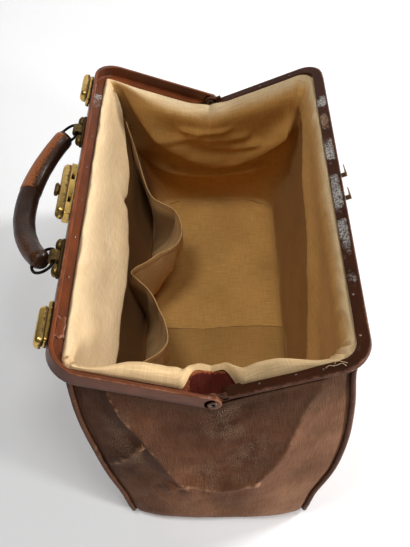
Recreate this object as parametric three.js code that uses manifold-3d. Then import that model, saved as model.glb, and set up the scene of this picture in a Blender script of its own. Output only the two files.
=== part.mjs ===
import * as THREE from "three";
import { mergeVertices } from "three/addons/utils/BufferGeometryUtils.js";
import Module from "manifold-3d";

const wasm = await Module();
wasm.setup();

// Driving dimensions in millimetres and degrees: +Y runs along the bag, +Z is up, the bag stands on Z = 0
const SEAT = 0.3;
const WELD = 1e-4;
const FRAME = { pivotHeight: 180, lockTilt: 19.7, hookTilt: 23.6 };
const LOCK_JAW = { reach: 135, half: 200, wall: 3.5, low: -7.5, high: 7.5, ledge: 12.5, ledgeTop: -4.5 };
const LOCK_JAW_ENDS = { corner: 27, ledgeStart: 15, eye: 7.5, hole: 3, cornerSteps: 4 };
const HOOK_JAW = { reach: 131, half: 196, width: 11, low: -5, high: 0, corner: 24 };
const HOOK_JAW_ENDS = { tab: 6.5, thick: 3, armStart: 8, neckEnd: 12, inset: 0.1 };
const EYE_SIDES = 20;
const RIVET = { bore: 1.9, shank: 2.7, inner: 4.2, outer: 4.6, brow: 4.1, sides: 10 };
const RIVET_HEAD = { flange: 1.1, browUp: 0.9, lip: 0.8 };

// Leather body: one row for each height, up is the share of the wall, the rest are distances from the axes
const LEATHER = 2;
const SEAM_GAP = 3.4;
const PIPING = { radius: 2.2, sides: 6, lowest: 2.8, steps: 14 };
const RIM = { lockDrop: 8.4, hookDropAtPivot: 8.8, hookDrop: 5.8, blend: 40 };
const BODY_ROWS = [
  { up: 0.0, left: 74, right: 87, end: 207, endBulge: 8, leftBulge: 0, rightBulge: 0 },
  { up: 0.015, left: 76, right: 89, end: 213, endBulge: 8, leftBulge: 1, rightBulge: 0 },
  { up: 0.06, left: 77, right: 90, end: 216.5, endBulge: 8, leftBulge: 2, rightBulge: 0 },
  { up: 0.21, left: 85, right: 97, end: 215, endBulge: 8, leftBulge: 5, rightBulge: 0 },
  { up: 0.4, left: 99, right: 107, end: 211, endBulge: 7.5, leftBulge: 6, rightBulge: 0 },
  { up: 0.62, left: 106, right: 112, end: 205.5, endBulge: 6, leftBulge: 8, rightBulge: 1 },
  { up: 0.81, left: 110, right: 111, end: 199, endBulge: 4.5, leftBulge: 11, rightBulge: 6.5 },
  { up: 1.0, left: 112, right: 108, end: 191.5, endBulge: 4.5, leftBulge: 12, rightBulge: 8 },
];
const PANEL = { across: 14, rise: 11, crowd: 1.35, along: 12, floor: 4, fullness: 6, endFullness: 4 };

// Creases standing out of the ends: a line between two points, across -1 to 1 and up 0 floor to 1 rim
const CREASES = [
  { end: "near", across0: 0.84, up0: 1.0, across1: 0.33, up1: 0.45, width: 0.14, height: 4.5 },
  { end: "near", across0: -0.76, up0: 1.0, across1: -0.3, up1: 0.4, width: 0.13, height: 4 },
  { end: "near", across0: -0.93, up0: 0.5, across1: -0.56, up1: 0.71, width: 0.1, height: 3 },
  { end: "near", across0: -0.46, up0: 0.385, across1: 0.33, up1: 0.43, width: 0.09, height: 3.4 },
  { end: "far", across0: 0.76, up0: 1.0, across1: 0.1, up1: 0.38, width: 0.14, height: 4 },
  { end: "far", across0: -0.8, up0: 1.0, across1: -0.1, up1: 0.4, width: 0.14, height: 4 },
];
const CREASE_FADE = 0.85;

// Lining: one row from the rim to the floor, lift raises the roll over the arms, sideLift over the bars
const COTTON = 1.2;
const LINING = { lockDrop: 6.4, hookDrop: 5, endPoints: 10, sidePoints: 6, cornerPoints: 3, floorScale: 0.5 };
const LINING_ROWS = [
  { up: 1.0, left: 115, right: 108, end: 182.6, corner: 15, lift: 0, sideLift: 0, bulge: 0 },
  { up: 1.0, left: 114.4, right: 107.4, end: 183, corner: 15, lift: 5, sideLift: 3, bulge: 0 },
  { up: 1.0, left: 113.4, right: 106.4, end: 185.5, corner: 16, lift: 10, sideLift: 5, bulge: 0 },
  { up: 1.0, left: 112, right: 105, end: 183, corner: 17, lift: 15, sideLift: 4.5, bulge: 0 },
  { up: 0.99, left: 110.8, right: 103.8, end: 178, corner: 18, lift: 17, sideLift: 1, bulge: 0 },
  { up: 0.97, left: 109, right: 102.6, end: 172.6, corner: 19, lift: 12, sideLift: -2, bulge: 0 },
  { up: 0.93, left: 107, right: 102, end: 170, corner: 20, lift: 3, sideLift: -2, bulge: 1 },
  { up: 0.82, left: 101, right: 103, end: 172.5, corner: 22, lift: 0, sideLift: 0, bulge: 3 },
  { up: 0.68, left: 94, right: 105, end: 179, corner: 24, lift: 0, sideLift: 0, bulge: 5 },
  { up: 0.58, left: 89.5, right: 106, end: 186, corner: 24, lift: 0, sideLift: 0, bulge: 7 },
  { up: 0.51, left: 94, right: 105, end: 191, corner: 24, lift: 0, sideLift: 0, bulge: 9 },
  { up: 0.36, left: 90, right: 101, end: 199, corner: 24, lift: 0, sideLift: 0, bulge: 9 },
  { up: 0.18, left: 79, right: 92, end: 206, corner: 22, lift: 0, sideLift: 0, bulge: 9 },
  { up: 0.05, left: 73, right: 85.5, end: 209, corner: 20, lift: 0, sideLift: 0, bulge: 9 },
  { up: 0.027, left: 70, right: 82.5, end: 205.5, corner: 19, lift: 0, sideLift: 0, bulge: 9 },
];
const ROLL_END = 0.9;
const ARCH = { half: 27, depth: 14, flatten: 0.65 };
const SWAGS = [
  { across: 12, bottom: 78, curve: 0.0075, width: 16, depth: 7 },
  { across: 5, bottom: 40, curve: 0.0012, width: 10, depth: 4 },
];
const PATCH = { half: 22, y0: -191, y1: -175, z0: 170, z1: 179, arch: 8, ease: 0.8, thick: 1.6 };
const PATCH_STEPS = { across: 8, along: 4 };

// Pocket: one row for each pouch, where it starts and ends, where its mouth stands out most and how far
const POCKET = { wallGap: 1.2, mouth: 107, bottom: 20, thick: 1, narrow: 1.35, full: 1.6, sag: 14 };
const POCKET_STEPS = { along: 12, rise: 6 };
const POUCHES = [
  { start: 172, peak: 56, end: 2, reach: 55 },
  { start: -2, peak: -82, end: -172, reach: 47 },
];

// Handle: an arch of leather on two wire rings that hang in brass brackets on the lock jaw
const BRACKET = { at: 84.5, length: 42, height: 13, thick: 2.4, knuckle: 4.6, knuckleLength: 11, bore: 2.1 };
const BRACKET_LOBE = { at: 14.5, along: 6, up: 5.2, out: 3.6, sides: 10, rings: 6 };
const BRACKET_SIDES = { plate: 20, knuckle: 14, bore: 10 };
const HANDLE = { axisOut: 7, axisUp: -1, drop: 48, half: 77, near: 19, apex: 47.5, tip: 9 };
const HANDLE_STEPS = { sides: 12, along: 22 };
const HANDLE_GRIP = [
  { along: 0.0, radius: 6.2 },
  { along: 0.03, radius: 7.6 },
  { along: 0.08, radius: 7.2 },
  { along: 0.13, radius: 8.2 },
  { along: 0.3, radius: 9.6 },
  { along: 0.5, radius: 10.4 },
];
const RING = { wire: 1.35, clearance: 0.45, half: 12.5, reach: 24, segments: 26, sides: 6 };
const RING_LINE = [
  { out: 0, along: 0.45 },
  { out: 0.13, along: 0.84 },
  { out: 0.46, along: 1 },
  { out: 0.82, along: 0.72 },
];

// Brass hardware on the outer face of the lock jaw and the edge of the hook jaw
const LOCK = { at: -3, length: 66, low: -9, high: 4.5, plate: 5.8 };
const LOCK_CASE = { length: 64, lip: 0.6, out: 6.8, round: 4.5, bevel: 2.2 };
const LOCK_SLOT = { spacing: 30, length: 7, width: 3, depth: 8, out: 3 };
const BUTTON = { half: 7, up: 4.6, thick: 4, sides: 16, travel: 6, gap: 0.4 };
const STEM = { half: 4, up: 2.2, depth: 3 };
const CATCH = { at: 153, length: 39, low: -8, high: 5, plate: 3.8 };
const CATCH_SLIDE = { length: 36, lip: 0.5, out: 6.4, offset: 4, round: 4, bevel: 2.2 };
const CATCH_RAIL = { half: 10, up: 2.4, out: 3, gap: 0.4, travel: 6 };
const HOOK = { at: [12, -18], width: 5, low: -3.2, thick: 1.8, out: 5.6, prong: 8.5, tip: 0.8 };
const ROUND_STEPS = 2;
const UPRIGHT = 0.9;

const COLOURS = {
  bodyLeather: 0x6b4433,
  lockLeather: 0x7a3f28,
  hookLeather: 0x4e2c25,
  patchLeather: 0x4d1512,
  handleLeather: 0x3f2418,
  cotton: 0xcdb07c,
  brass: 0xb08d45,
  darkBrass: 0x6f5830,
  iron: 0x2a2724,
};
const FINISH = {
  leather: { roughness: 0.6, metalness: 0 },
  cotton: { roughness: 0.95, metalness: 0 },
  metal: { roughness: 0.35, metalness: 1 },
};
const rad = THREE.MathUtils.degToRad;
const lerp = THREE.MathUtils.lerp;
const clamp = THREE.MathUtils.clamp;
const smooth = THREE.MathUtils.smoothstep;
const vec = (x, y, z) => new THREE.Vector3(x, y, z);

// A geometry as a closed solid, and a solid back as a geometry
function solid(geometry) {
  const bare = geometry.clone();
  bare.deleteAttribute("normal");
  bare.deleteAttribute("uv");
  const merged = mergeVertices(bare, WELD);
  const vertProperties = merged.attributes.position.array;
  const triVerts = new Uint32Array(merged.index.array);
  return new wasm.Manifold(new wasm.Mesh({ numProp: 3, vertProperties, triVerts }));
}

function geometryOf(made) {
  const mesh = made.getMesh();
  const geometry = new THREE.BufferGeometry();
  geometry.setAttribute("position", new THREE.BufferAttribute(new Float32Array(mesh.vertProperties), 3));
  geometry.setIndex(new THREE.BufferAttribute(new Uint32Array(mesh.triVerts), 1));
  return geometry;
}

const join = (...parts) => geometryOf(parts.map(solid).reduce((a, b) => a.add(b)));
const cut = (whole, ...parts) => geometryOf(parts.map(solid).reduce((a, b) => a.subtract(b), solid(whole)));

function block(x0, x1, y0, y1, z0, z1) {
  const box = new THREE.BoxGeometry(x1 - x0, y1 - y0, z1 - z0);
  return box.translate((x0 + x1) / 2, (y0 + y1) / 2, (z0 + z1) / 2);
}

function rodAlongY(radius, y0, y1, x, z, sides) {
  return new THREE.CylinderGeometry(radius, radius, y1 - y0, sides).translate(x, (y0 + y1) / 2, z);
}

// Smooth reading of a table column against its key column
function column(table, key, name) {
  const keys = table.map((row) => row[key]);
  const values = table.map((row) => row[name]);
  const spline = new THREE.CubicInterpolant(keys, values, 1);
  return (at) => spline.evaluate(clamp(at, keys[0], keys[keys.length - 1]))[0];
}

function columns(table, key) {
  const names = Object.keys(table[0]).filter((name) => name !== key);
  return Object.fromEntries(names.map((name) => [name, column(table, key, name)]));
}

// A sheet of even thickness laid on rows of points, the face looks along rows cross columns
function sheet(rows, thick, options = {}) {
  const { closed = false, cap = false } = options;
  const count = rows[0].length;
  const at = (i, j) => rows[clamp(i, 0, rows.length - 1)][j];
  const beside = (j, step) => (closed ? (j + step + count) % count : clamp(j + step, 0, count - 1));
  const normals = rows.map((row, i) =>
    row.map((_, j) => {
      const across = at(i, beside(j, 1)).clone().sub(at(i, beside(j, -1)));
      const down = at(i + 1, j).clone().sub(at(i - 1, j));
      return across.cross(down).normalize();
    }),
  );
  const points = [];
  const faces = [];
  rows.forEach((row) => row.forEach((p) => points.push(p)));
  const backOf = (p, i, j) => p.clone().addScaledVector(normals[i][j], -thick);
  rows.forEach((row, i) => row.forEach((p, j) => points.push(backOf(p, i, j))));
  const back = rows.length * count;
  const id = (i, j) => i * count + ((j + count) % count);
  const quad = (a, b, c, d) => faces.push(a, b, c, a, c, d);
  const lastColumn = closed ? count : count - 1;
  for (let i = 0; i + 1 < rows.length; i += 1) {
    for (let j = 0; j < lastColumn; j += 1) {
      quad(id(i, j), id(i, j + 1), id(i + 1, j + 1), id(i + 1, j));
      quad(back + id(i, j), back + id(i + 1, j), back + id(i + 1, j + 1), back + id(i, j + 1));
    }
  }
  const end = rows.length - 1;
  for (let j = 0; j < lastColumn; j += 1) {
    quad(id(0, j + 1), id(0, j), back + id(0, j), back + id(0, j + 1));
    if (!cap) {
      quad(id(end, j), id(end, j + 1), back + id(end, j + 1), back + id(end, j));
    }
  }
  if (!closed) {
    for (let i = 0; i < end; i += 1) {
      quad(id(i, 0), id(i + 1, 0), back + id(i + 1, 0), back + id(i, 0));
      quad(id(i + 1, count - 1), id(i, count - 1), back + id(i, count - 1), back + id(i + 1, count - 1));
    }
  }
  if (cap) {
    const middle = rows[end].reduce((sum, p) => sum.add(p), vec(0, 0, 0)).divideScalar(count);
    const lift = normals[end][0].clone().multiplyScalar(-thick);
    points.push(middle, middle.clone().add(lift));
    const centre = 2 * back;
    for (let j = 0; j < count; j += 1) {
      faces.push(id(end, j), id(end, j + 1), centre);
      faces.push(back + id(end, j + 1), back + id(end, j), centre + 1);
    }
  }
  return meshOf(points, faces);
}

function meshOf(points, faces) {
  const geometry = new THREE.BufferGeometry().setFromPoints(points);
  geometry.setIndex(faces);
  return solid(geometry).volume() < 0 ? meshOf(points, faces.slice().reverse()) : geometry;
}

// A round bar along a list of points with its own radius at each, closed at both ends
function bar(points, radii, sides) {
  const ends = points.length - 1;
  const verts = [];
  const faces = [];
  points.forEach((p, i) => {
    const tangent = points[Math.min(i + 1, ends)].clone().sub(points[Math.max(i - 1, 0)]).normalize();
    const flat = Math.abs(tangent.z) < UPRIGHT ? vec(0, 0, 1) : vec(1, 0, 0);
    const u = flat.cross(tangent).normalize();
    const v = tangent.clone().cross(u);
    for (let k = 0; k < sides; k += 1) {
      const turn = (2 * Math.PI * k) / sides;
      const spoke = u.clone().multiplyScalar(Math.cos(turn)).addScaledVector(v, Math.sin(turn));
      verts.push(p.clone().addScaledVector(spoke, radii[i]));
    }
  });
  const id = (i, k) => i * sides + (k % sides);
  for (let i = 0; i < ends; i += 1) {
    for (let k = 0; k < sides; k += 1) {
      faces.push(id(i, k), id(i, k + 1), id(i + 1, k + 1), id(i, k), id(i + 1, k + 1), id(i + 1, k));
    }
  }
  verts.push(points[0], points[ends]);
  const first = verts.length - 2;
  for (let k = 0; k < sides; k += 1) {
    faces.push(id(0, k + 1), id(0, k), first, id(ends, k), id(ends, k + 1), first + 1);
  }
  return meshOf(verts, faces);
}

// Frame: a U strip with rounded corners, its arms along X and its bar along Y
function strip(reach, half, width, corner, start, low, high) {
  const inner = corner - width;
  const shape = new THREE.Shape();
  shape.moveTo(start, -half);
  shape.lineTo(reach - corner, -half);
  shape.absarc(reach - corner, -half + corner, corner, -Math.PI / 2, 0, false);
  shape.absarc(reach - corner, half - corner, corner, 0, Math.PI / 2, false);
  shape.lineTo(start, half);
  shape.lineTo(start, half - width);
  shape.absarc(reach - corner, half - corner, inner, Math.PI / 2, 0, true);
  shape.absarc(reach - corner, -half + corner, inner, 0, -Math.PI / 2, true);
  shape.lineTo(start, -half + width);
  shape.closePath();
  const options = { depth: high - low, bevelEnabled: false, curveSegments: LOCK_JAW_ENDS.cornerSteps };
  return new THREE.ExtrudeGeometry(shape, options).translate(0, 0, low);
}

function lockJaw() {
  const { reach, half, wall, low, high, ledge, ledgeTop } = LOCK_JAW;
  const { corner, ledgeStart, eye, hole } = LOCK_JAW_ENDS;
  const upright = strip(reach, half, wall, corner, 0, low, high);
  const shelf = strip(reach, half, ledge, corner, ledgeStart, low, ledgeTop);
  const eyes = [-1, 1].map((side) => {
    const middle = side * (half - wall / 2);
    return rodAlongY(eye, middle - wall / 2, middle + wall / 2, 0, 0, EYE_SIDES);
  });
  const bore = rodAlongY(hole, -half - wall, half + wall, 0, 0, RIVET.sides);
  return cut(join(upright, shelf, ...eyes), bore);
}

function hookJaw() {
  const { reach, half, width, low, high, corner } = HOOK_JAW;
  const { tab, thick, armStart, neckEnd, inset } = HOOK_JAW_ENDS;
  const flat = strip(reach, half, width, corner, armStart, low, high);
  const middles = [-1, 1].map((side) => side * (half - thick / 2));
  const tabs = middles.map((y) => rodAlongY(tab, y - thick / 2, y + thick / 2, 0, 0, EYE_SIDES));
  const slim = thick / 2 - inset;
  const necks = middles.map((y) => block(0, neckEnd, y - slim, y + slim, low + inset, tab / 2));
  const bore = rodAlongY(LOCK_JAW_ENDS.hole, -half - width, half + width, 0, 0, RIVET.sides);
  return cut(join(flat, ...tabs, ...necks), bore);
}

// Hollow rivet through eye and tab, its outer flange at height zero
function rivet() {
  const { bore, shank, inner, outer, brow, sides } = RIVET;
  const { flange, browUp, lip } = RIVET_HEAD;
  const inside = HOOK_JAW.half - HOOK_JAW_ENDS.thick - LOCK_JAW.half - SEAT;
  const profile = [
    [bore, inside - flange],
    [inner, inside - flange],
    [inner, inside],
    [shank, inside],
    [shank, SEAT],
    [outer, SEAT],
    [brow, SEAT + browUp],
    [shank, SEAT + flange],
    [bore, SEAT + lip],
    [bore, inside - flange],
  ].map(([r, h]) => new THREE.Vector2(r, h));
  return new THREE.LatheGeometry(profile, sides);
}

// Underside of the frame above a point at x, less a drop on each jaw's side
function rimHeight(x, lockDrop, hookDrop) {
  const tilt = rad(x < 0 ? FRAME.lockTilt : FRAME.hookTilt);
  const drop = x < 0 ? lockDrop : hookDrop;
  return FRAME.pivotHeight + Math.abs(x) * Math.tan(tilt) - drop / Math.cos(tilt);
}

function leatherRim(x) {
  const hookDrop = lerp(RIM.hookDropAtPivot, RIM.hookDrop, smooth(x, 0, RIM.blend));
  return rimHeight(x, RIM.lockDrop, hookDrop);
}

const body = columns(BODY_ROWS, "up");
const fullness = (t, power) => 1 - Math.abs(t) ** power;

// How far the creases of an end stand out, less and less towards the rim
function creaseHeight(end, across, up) {
  const here = new THREE.Vector2(across, up);
  const creases = CREASES.filter((crease) => crease.end === end);
  const height = creases.reduce((sum, crease) => {
    const from = new THREE.Vector2(crease.across0, crease.up0);
    const along = new THREE.Vector2(crease.across1, crease.up1).sub(from);
    const share = clamp(here.clone().sub(from).dot(along) / along.lengthSq(), 0, 1);
    const off = here.distanceTo(from.addScaledVector(along, share));
    return sum + crease.height * Math.exp(-((off / crease.width) ** 2));
  }, 0);
  return height * (1 - smooth(up, CREASE_FADE, 1));
}

// Point on the outside of an end, side -1 near and 1 far
function endPoint(side, across, up) {
  const left = -body.left(up) + SEAM_GAP;
  const right = body.right(up) - SEAM_GAP;
  const x = lerp(left, right, (across + 1) / 2);
  const flat = fullness(across, PANEL.endFullness);
  const crease = creaseHeight(side < 0 ? "near" : "far", across, up);
  const y = side * (body.end(up) + (body.endBulge(up) + crease) * flat);
  return vec(x, y, up * leatherRim(x));
}

// Point on the outside of a long side, side -1 left and 1 right
function sidePoint(side, along, up) {
  const reach = side < 0 ? body.left(up) : body.right(up);
  const bulge = side < 0 ? body.leftBulge(up) : body.rightBulge(up);
  const x = side * (reach + bulge * fullness(along, PANEL.fullness));
  return vec(x, along * (body.end(up) - SEAM_GAP), up * leatherRim(x));
}

const steps = (count) => Array.from({ length: count + 1 }, (_, i) => i / count);
const riseShares = (count) => steps(count).map((t) => t ** PANEL.crowd);

function gusset() {
  const acrossSteps = steps(PANEL.across).map((t) => 1 - 2 * t);
  const rise = riseShares(PANEL.rise);
  const near = rise.slice().reverse().map((up) => acrossSteps.map((a) => endPoint(-1, a, up)));
  const far = rise.map((up) => acrossSteps.map((a) => endPoint(1, a, up)));
  const floor = steps(PANEL.floor).slice(1, -1).map((t) =>
    acrossSteps.map((a) => {
      const p = endPoint(-1, a, 0);
      return p.setY(lerp(p.y, -p.y, t));
    }),
  );
  return sheet([...near, ...floor, ...far], LEATHER);
}

function sidePanel(side) {
  const lowest = (PIPING.lowest + SEAM_GAP + 3 * SEAT) / leatherRim(side * BODY_ROWS[0].right);
  const rise = riseShares(PANEL.rise - 1).map((t) => lerp(lowest, 1, t));
  const along = steps(PANEL.along).map((t) => side * (1 - 2 * t));
  return sheet(rise.map((up) => along.map((a) => sidePoint(side, a, up))).reverse(), LEATHER);
}

function piping(side) {
  const reach = side < 0 ? body.left : body.right;
  const corner = (end, up) => {
    const x = side * reach(up);
    return vec(x, end * body.end(up), Math.max(PIPING.lowest, up * leatherRim(x)));
  };
  const rise = riseShares(PIPING.steps);
  const near = rise.slice().reverse().map((up) => corner(-1, up));
  const far = rise.map((up) => corner(1, up));
  const points = [...near, ...far];
  return bar(points, points.map(() => PIPING.radius), PIPING.sides);
}

// Lining: loops of a rounded rectangle, from the rim to the floor
function liningLoop(row) {
  const { endPoints, sidePoints, cornerPoints } = LINING;
  const { left, right, end, corner } = row;
  const loop = [];
  const add = (x, y, endShare, face) => loop.push({ x, y, endShare, face });
  const turn = (cx, cy, from) => {
    for (let k = 1; k <= cornerPoints; k += 1) {
      const angle = from + ((Math.PI / 2) * k) / (cornerPoints + 1);
      const rise = Math.sin(angle);
      add(cx + corner * Math.cos(angle), cy + corner * rise, rise ** 2, Math.sign(rise));
    }
  };
  const straight = (count, x0, y0, x1, y1, endShare, face) => {
    for (let k = 0; k < count; k += 1) {
      const t = k / (count - 1);
      add(lerp(x0, x1, t), lerp(y0, y1, t), endShare, face);
    }
  };
  straight(endPoints, -left + corner, -end, right - corner, -end, 1, -1);
  turn(right - corner, -end + corner, -Math.PI / 2);
  straight(sidePoints, right, -end + corner, right, end - corner, 0, 0);
  turn(right - corner, end - corner, 0);
  straight(endPoints, right - corner, end, -left + corner, end, 1, 1);
  turn(-left + corner, end - corner, Math.PI / 2);
  straight(sidePoints, -left, end - corner, -left, -end + corner, 0, 0);
  turn(-left + corner, -end + corner, Math.PI);
  return loop;
}

const bump = (t) => (Math.abs(t) < 1 ? (1 - t * t) ** 2 : 0);

function swagDepth(x, z) {
  return SWAGS.reduce((sum, swag) => {
    const line = swag.bottom + swag.curve * (x - swag.across) ** 2;
    return sum + swag.depth * Math.exp(-(((z - line) / swag.width) ** 2));
  }, 0);
}

function liningPoint(row, spot) {
  const middle = (row.right - row.left) / 2;
  const across = (spot.x - middle) / (row.right + row.left) * 2;
  const bulge = row.bulge * spot.endShare * fullness(across, 2);
  const arch = spot.face < 0 && row.up > ROLL_END ? bump(spot.x / ARCH.half) * spot.endShare : 0;
  const rim = rimHeight(spot.x, LINING.lockDrop, LINING.hookDrop);
  const lift = lerp(row.sideLift, row.lift, spot.endShare) * (1 - ARCH.flatten * arch);
  const z = row.up * rim + lift;
  const swag = spot.face > 0 ? swagDepth(spot.x, z) * spot.endShare : 0;
  const y = spot.y + Math.sign(spot.y) * (bulge - swag - ARCH.depth * arch);
  return vec(spot.x, y, z);
}

function lining() {
  const rows = LINING_ROWS.map((row) => liningLoop(row).map((spot) => liningPoint(row, spot)));
  const floor = rows[rows.length - 1];
  const level = floor.reduce((sum, p) => sum + p.z, 0) / floor.length;
  floor.forEach((p) => p.setZ(level));
  rows.push(floor.map((p) => vec(p.x * LINING.floorScale, p.y * LINING.floorScale, level)));
  return sheet(rows, COTTON, { closed: true, cap: true });
}

// Inside of the lining on the left wall at a height
function leftWall(z) {
  const rim = rimHeight(-LINING_ROWS[0].left, LINING.lockDrop, LINING.hookDrop);
  const ordered = LINING_ROWS.filter((row) => row.lift === 0 && row.up < ROLL_END).reverse();
  return -column(ordered, "up", "left")(z / rim) + COTTON;
}

function pouchReach(y) {
  const { start, peak, end, reach } = y > 0 ? POUCHES[0] : POUCHES[1];
  const share = y > peak ? (start - y) / (start - peak) : (y - end) / (peak - end);
  return reach * Math.sin((Math.PI / 2) * clamp(share, 0, 1)) ** POCKET.full;
}

function pocket() {
  const rise = steps(POCKET_STEPS.rise);
  const [far, near] = POUCHES;
  const spots = [
    ...steps(POCKET_STEPS.along).map((t) => lerp(far.start, far.end, t)),
    ...steps(POCKET_STEPS.along).map((t) => lerp(near.start, near.end, t)),
  ];
  const rows = rise.map((down) =>
    spots.map((y) => {
      const reach = pouchReach(y);
      const z = lerp(POCKET.mouth, POCKET.bottom, down) - POCKET.sag * (reach / far.reach) * (1 - down);
      const stand = reach * (1 - down ** POCKET.narrow);
      return vec(leftWall(z) + POCKET.wallGap + POCKET.thick + stand, y, z);
    }),
  );
  return sheet(rows, POCKET.thick);
}

function hingePatch() {
  const { half, y0, y1, z0, z1, arch, ease, thick } = PATCH;
  const { across, along } = PATCH_STEPS;
  const rows = steps(along).map((t) =>
    steps(across).map((s) => {
      const side = 2 * s - 1;
      return vec(side * half, lerp(y0, y1 - arch * side * side, t), lerp(z0, z1, t ** ease));
    }),
  );
  return sheet(rows, thick);
}

// Handle: an arch of a circle in its own plane, X out from the ring axis, Y along the bag
function handlePath() {
  const { half, near, apex, tip } = HANDLE;
  const count = HANDLE_STEPS.along;
  const rise = apex - near;
  const radius = (half * half + rise * rise) / (2 * rise);
  const reach = Math.asin(half / radius) + tip / radius;
  return steps(count).map((t) => {
    const angle = lerp(-reach, reach, t);
    return vec(apex - radius + radius * Math.cos(angle), radius * Math.sin(angle), 0);
  });
}

function ringCurve() {
  const { half, reach } = RING;
  const away = RING_LINE.map(({ out, along }) => vec(reach * out, half * along, 0));
  const back = RING_LINE.map(({ out, along }) => vec(reach * out, -half * along, 0)).reverse();
  return new THREE.CatmullRomCurve3([vec(0, 0, 0), ...away, vec(reach, 0, 0), ...back], true);
}

const ring = (wire) => new THREE.TubeGeometry(ringCurve(), RING.segments, wire, RING.sides, true);

function handle() {
  const path = handlePath();
  const radius = column(HANDLE_GRIP, "along", "radius");
  const radii = path.map((_, i) => radius(0.5 - Math.abs(i / (path.length - 1) - 0.5)));
  const grip = bar(path, radii, HANDLE_STEPS.sides);
  const eyes = [-1, 1].map((side) => ring(RING.wire + RING.clearance).translate(0, side * BRACKET.at, 0));
  return cut(grip, ...eyes);
}

// Rounded plate with bevelled rim, standing on x = 0 and growing along +X
function rounded(length, low, high, out, round, bevel) {
  const shape = new THREE.Shape();
  const half = length / 2 - bevel;
  const bottom = low + bevel;
  const top = high - bevel;
  shape.moveTo(-half + round, bottom);
  shape.absarc(half - round, bottom + round, round, -Math.PI / 2, 0, false);
  shape.absarc(half - round, top - round, round, 0, Math.PI / 2, false);
  shape.absarc(-half + round, top - round, round, Math.PI / 2, Math.PI, false);
  shape.absarc(-half + round, bottom + round, round, Math.PI, 1.5 * Math.PI, false);
  const options = {
    depth: out - 2 * bevel,
    bevelEnabled: true,
    bevelSize: bevel,
    bevelThickness: bevel,
    bevelSegments: 2,
    curveSegments: ROUND_STEPS,
  };
  const upright = new THREE.Matrix4().makeBasis(vec(0, 1, 0), vec(0, 0, 1), vec(1, 0, 0));
  return new THREE.ExtrudeGeometry(shape, options).translate(0, 0, bevel).applyMatrix4(upright);
}

function oval(halfAlong, halfUp, x0, x1, sides) {
  const disc = new THREE.CylinderGeometry(1, 1, x1 - x0, sides).rotateZ(-Math.PI / 2);
  return disc.scale(1, halfAlong, halfUp).translate((x0 + x1) / 2, 0, 0);
}

function bracket() {
  const { length, height, thick, knuckle, knuckleLength, bore } = BRACKET;
  const { axisOut, axisUp } = HANDLE;
  const { at, along, up, out, sides, rings } = BRACKET_LOBE;
  const plate = oval(length / 2, height / 2, SEAT, SEAT + thick, BRACKET_SIDES.plate).translate(0, 0, axisUp);
  const lobes = [-1, 1].map((side) =>
    new THREE.SphereGeometry(1, sides, rings).scale(out, along, up).translate(SEAT + out, side * at, axisUp),
  );
  const half = knuckleLength / 2;
  const neck = block(SEAT + thick / 2, axisOut, -half, half, axisUp - knuckle, axisUp + knuckle);
  const eye = rodAlongY(knuckle, -half, half, axisOut, axisUp, BRACKET_SIDES.knuckle);
  const hole = rodAlongY(bore, -length, length, axisOut, axisUp, BRACKET_SIDES.bore);
  const open = ring(RING.wire + RING.clearance).rotateY(rad(HANDLE.drop)).translate(axisOut, 0, axisUp);
  return cut(join(plate, ...lobes, neck, eye), hole, open);
}

function lockPlate() {
  const { length, low, high, plate } = LOCK;
  const slots = [-1, 1].map((side) => {
    const y = (side * LOCK_SLOT.spacing) / 2;
    const x = SEAT + LOCK_SLOT.out;
    const { width, length: long, depth } = LOCK_SLOT;
    return block(x - width / 2, x + width / 2, y - long / 2, y + long / 2, high - depth, high + depth);
  });
  return cut(block(SEAT, SEAT + plate, -length / 2, length / 2, low, high), ...slots);
}

const LOCK_FACE = LOCK.plate + 2 * SEAT + LOCK_CASE.out;
const LOCK_MIDDLE = (LOCK.low + LOCK.high) / 2;

function lockCase() {
  const { low, high, plate } = LOCK;
  const { length, lip, out, round, bevel } = LOCK_CASE;
  const shell = rounded(length, low - lip, high + lip, out, round, bevel).translate(plate + 2 * SEAT, 0, 0);
  const { travel, gap } = BUTTON;
  const { half: stem, up: stemUp, depth } = STEM;
  const groove = block(
    LOCK_FACE - depth - gap,
    LOCK_FACE + depth,
    -stem - gap - travel,
    stem + gap,
    LOCK_MIDDLE - stemUp - gap,
    LOCK_MIDDLE + stemUp + gap,
  );
  return cut(shell, groove);
}

function lockButton() {
  const { half, up, thick, sides, gap } = BUTTON;
  const { half: stem, up: stemUp, depth } = STEM;
  const head = oval(half, up, LOCK_FACE + gap, LOCK_FACE + gap + thick, sides).translate(0, 0, LOCK_MIDDLE);
  const foot = block(
    LOCK_FACE - depth,
    LOCK_FACE + gap + thick / 2,
    -stem,
    stem,
    LOCK_MIDDLE - stemUp,
    LOCK_MIDDLE + stemUp,
  );
  return join(head, foot);
}

const CATCH_MIDDLE = (CATCH.low + CATCH.high) / 2;

function catchPlate() {
  const { length, low, high, plate } = CATCH;
  const { half, up, out } = CATCH_RAIL;
  const base = block(SEAT, SEAT + plate, -length / 2, length / 2, low, high);
  const rail = block(plate / 2, SEAT + plate + out, -half, half, CATCH_MIDDLE - up, CATCH_MIDDLE + up);
  return join(base, rail);
}

// Slide of an end catch, set off toward the end of the bag, free to move back toward the lock
function catchSlide(side) {
  const { low, high, plate } = CATCH;
  const { length, lip, out, offset, round, bevel } = CATCH_SLIDE;
  const { half, up, out: railOut, gap, travel } = CATCH_RAIL;
  const seat = plate + 2 * SEAT;
  const shell = rounded(length, low - lip, high + lip, out, round, bevel).translate(seat, side * offset, 0);
  const back = side > 0 ? [-half - gap, half + gap + travel] : [-half - gap - travel, half + gap];
  const [low0, high0] = [CATCH_MIDDLE - up - gap, CATCH_MIDDLE + up + gap];
  const groove = block(0, SEAT + plate + railOut + gap, back[0], back[1], low0, high0);
  return cut(shell, groove);
}

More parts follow.
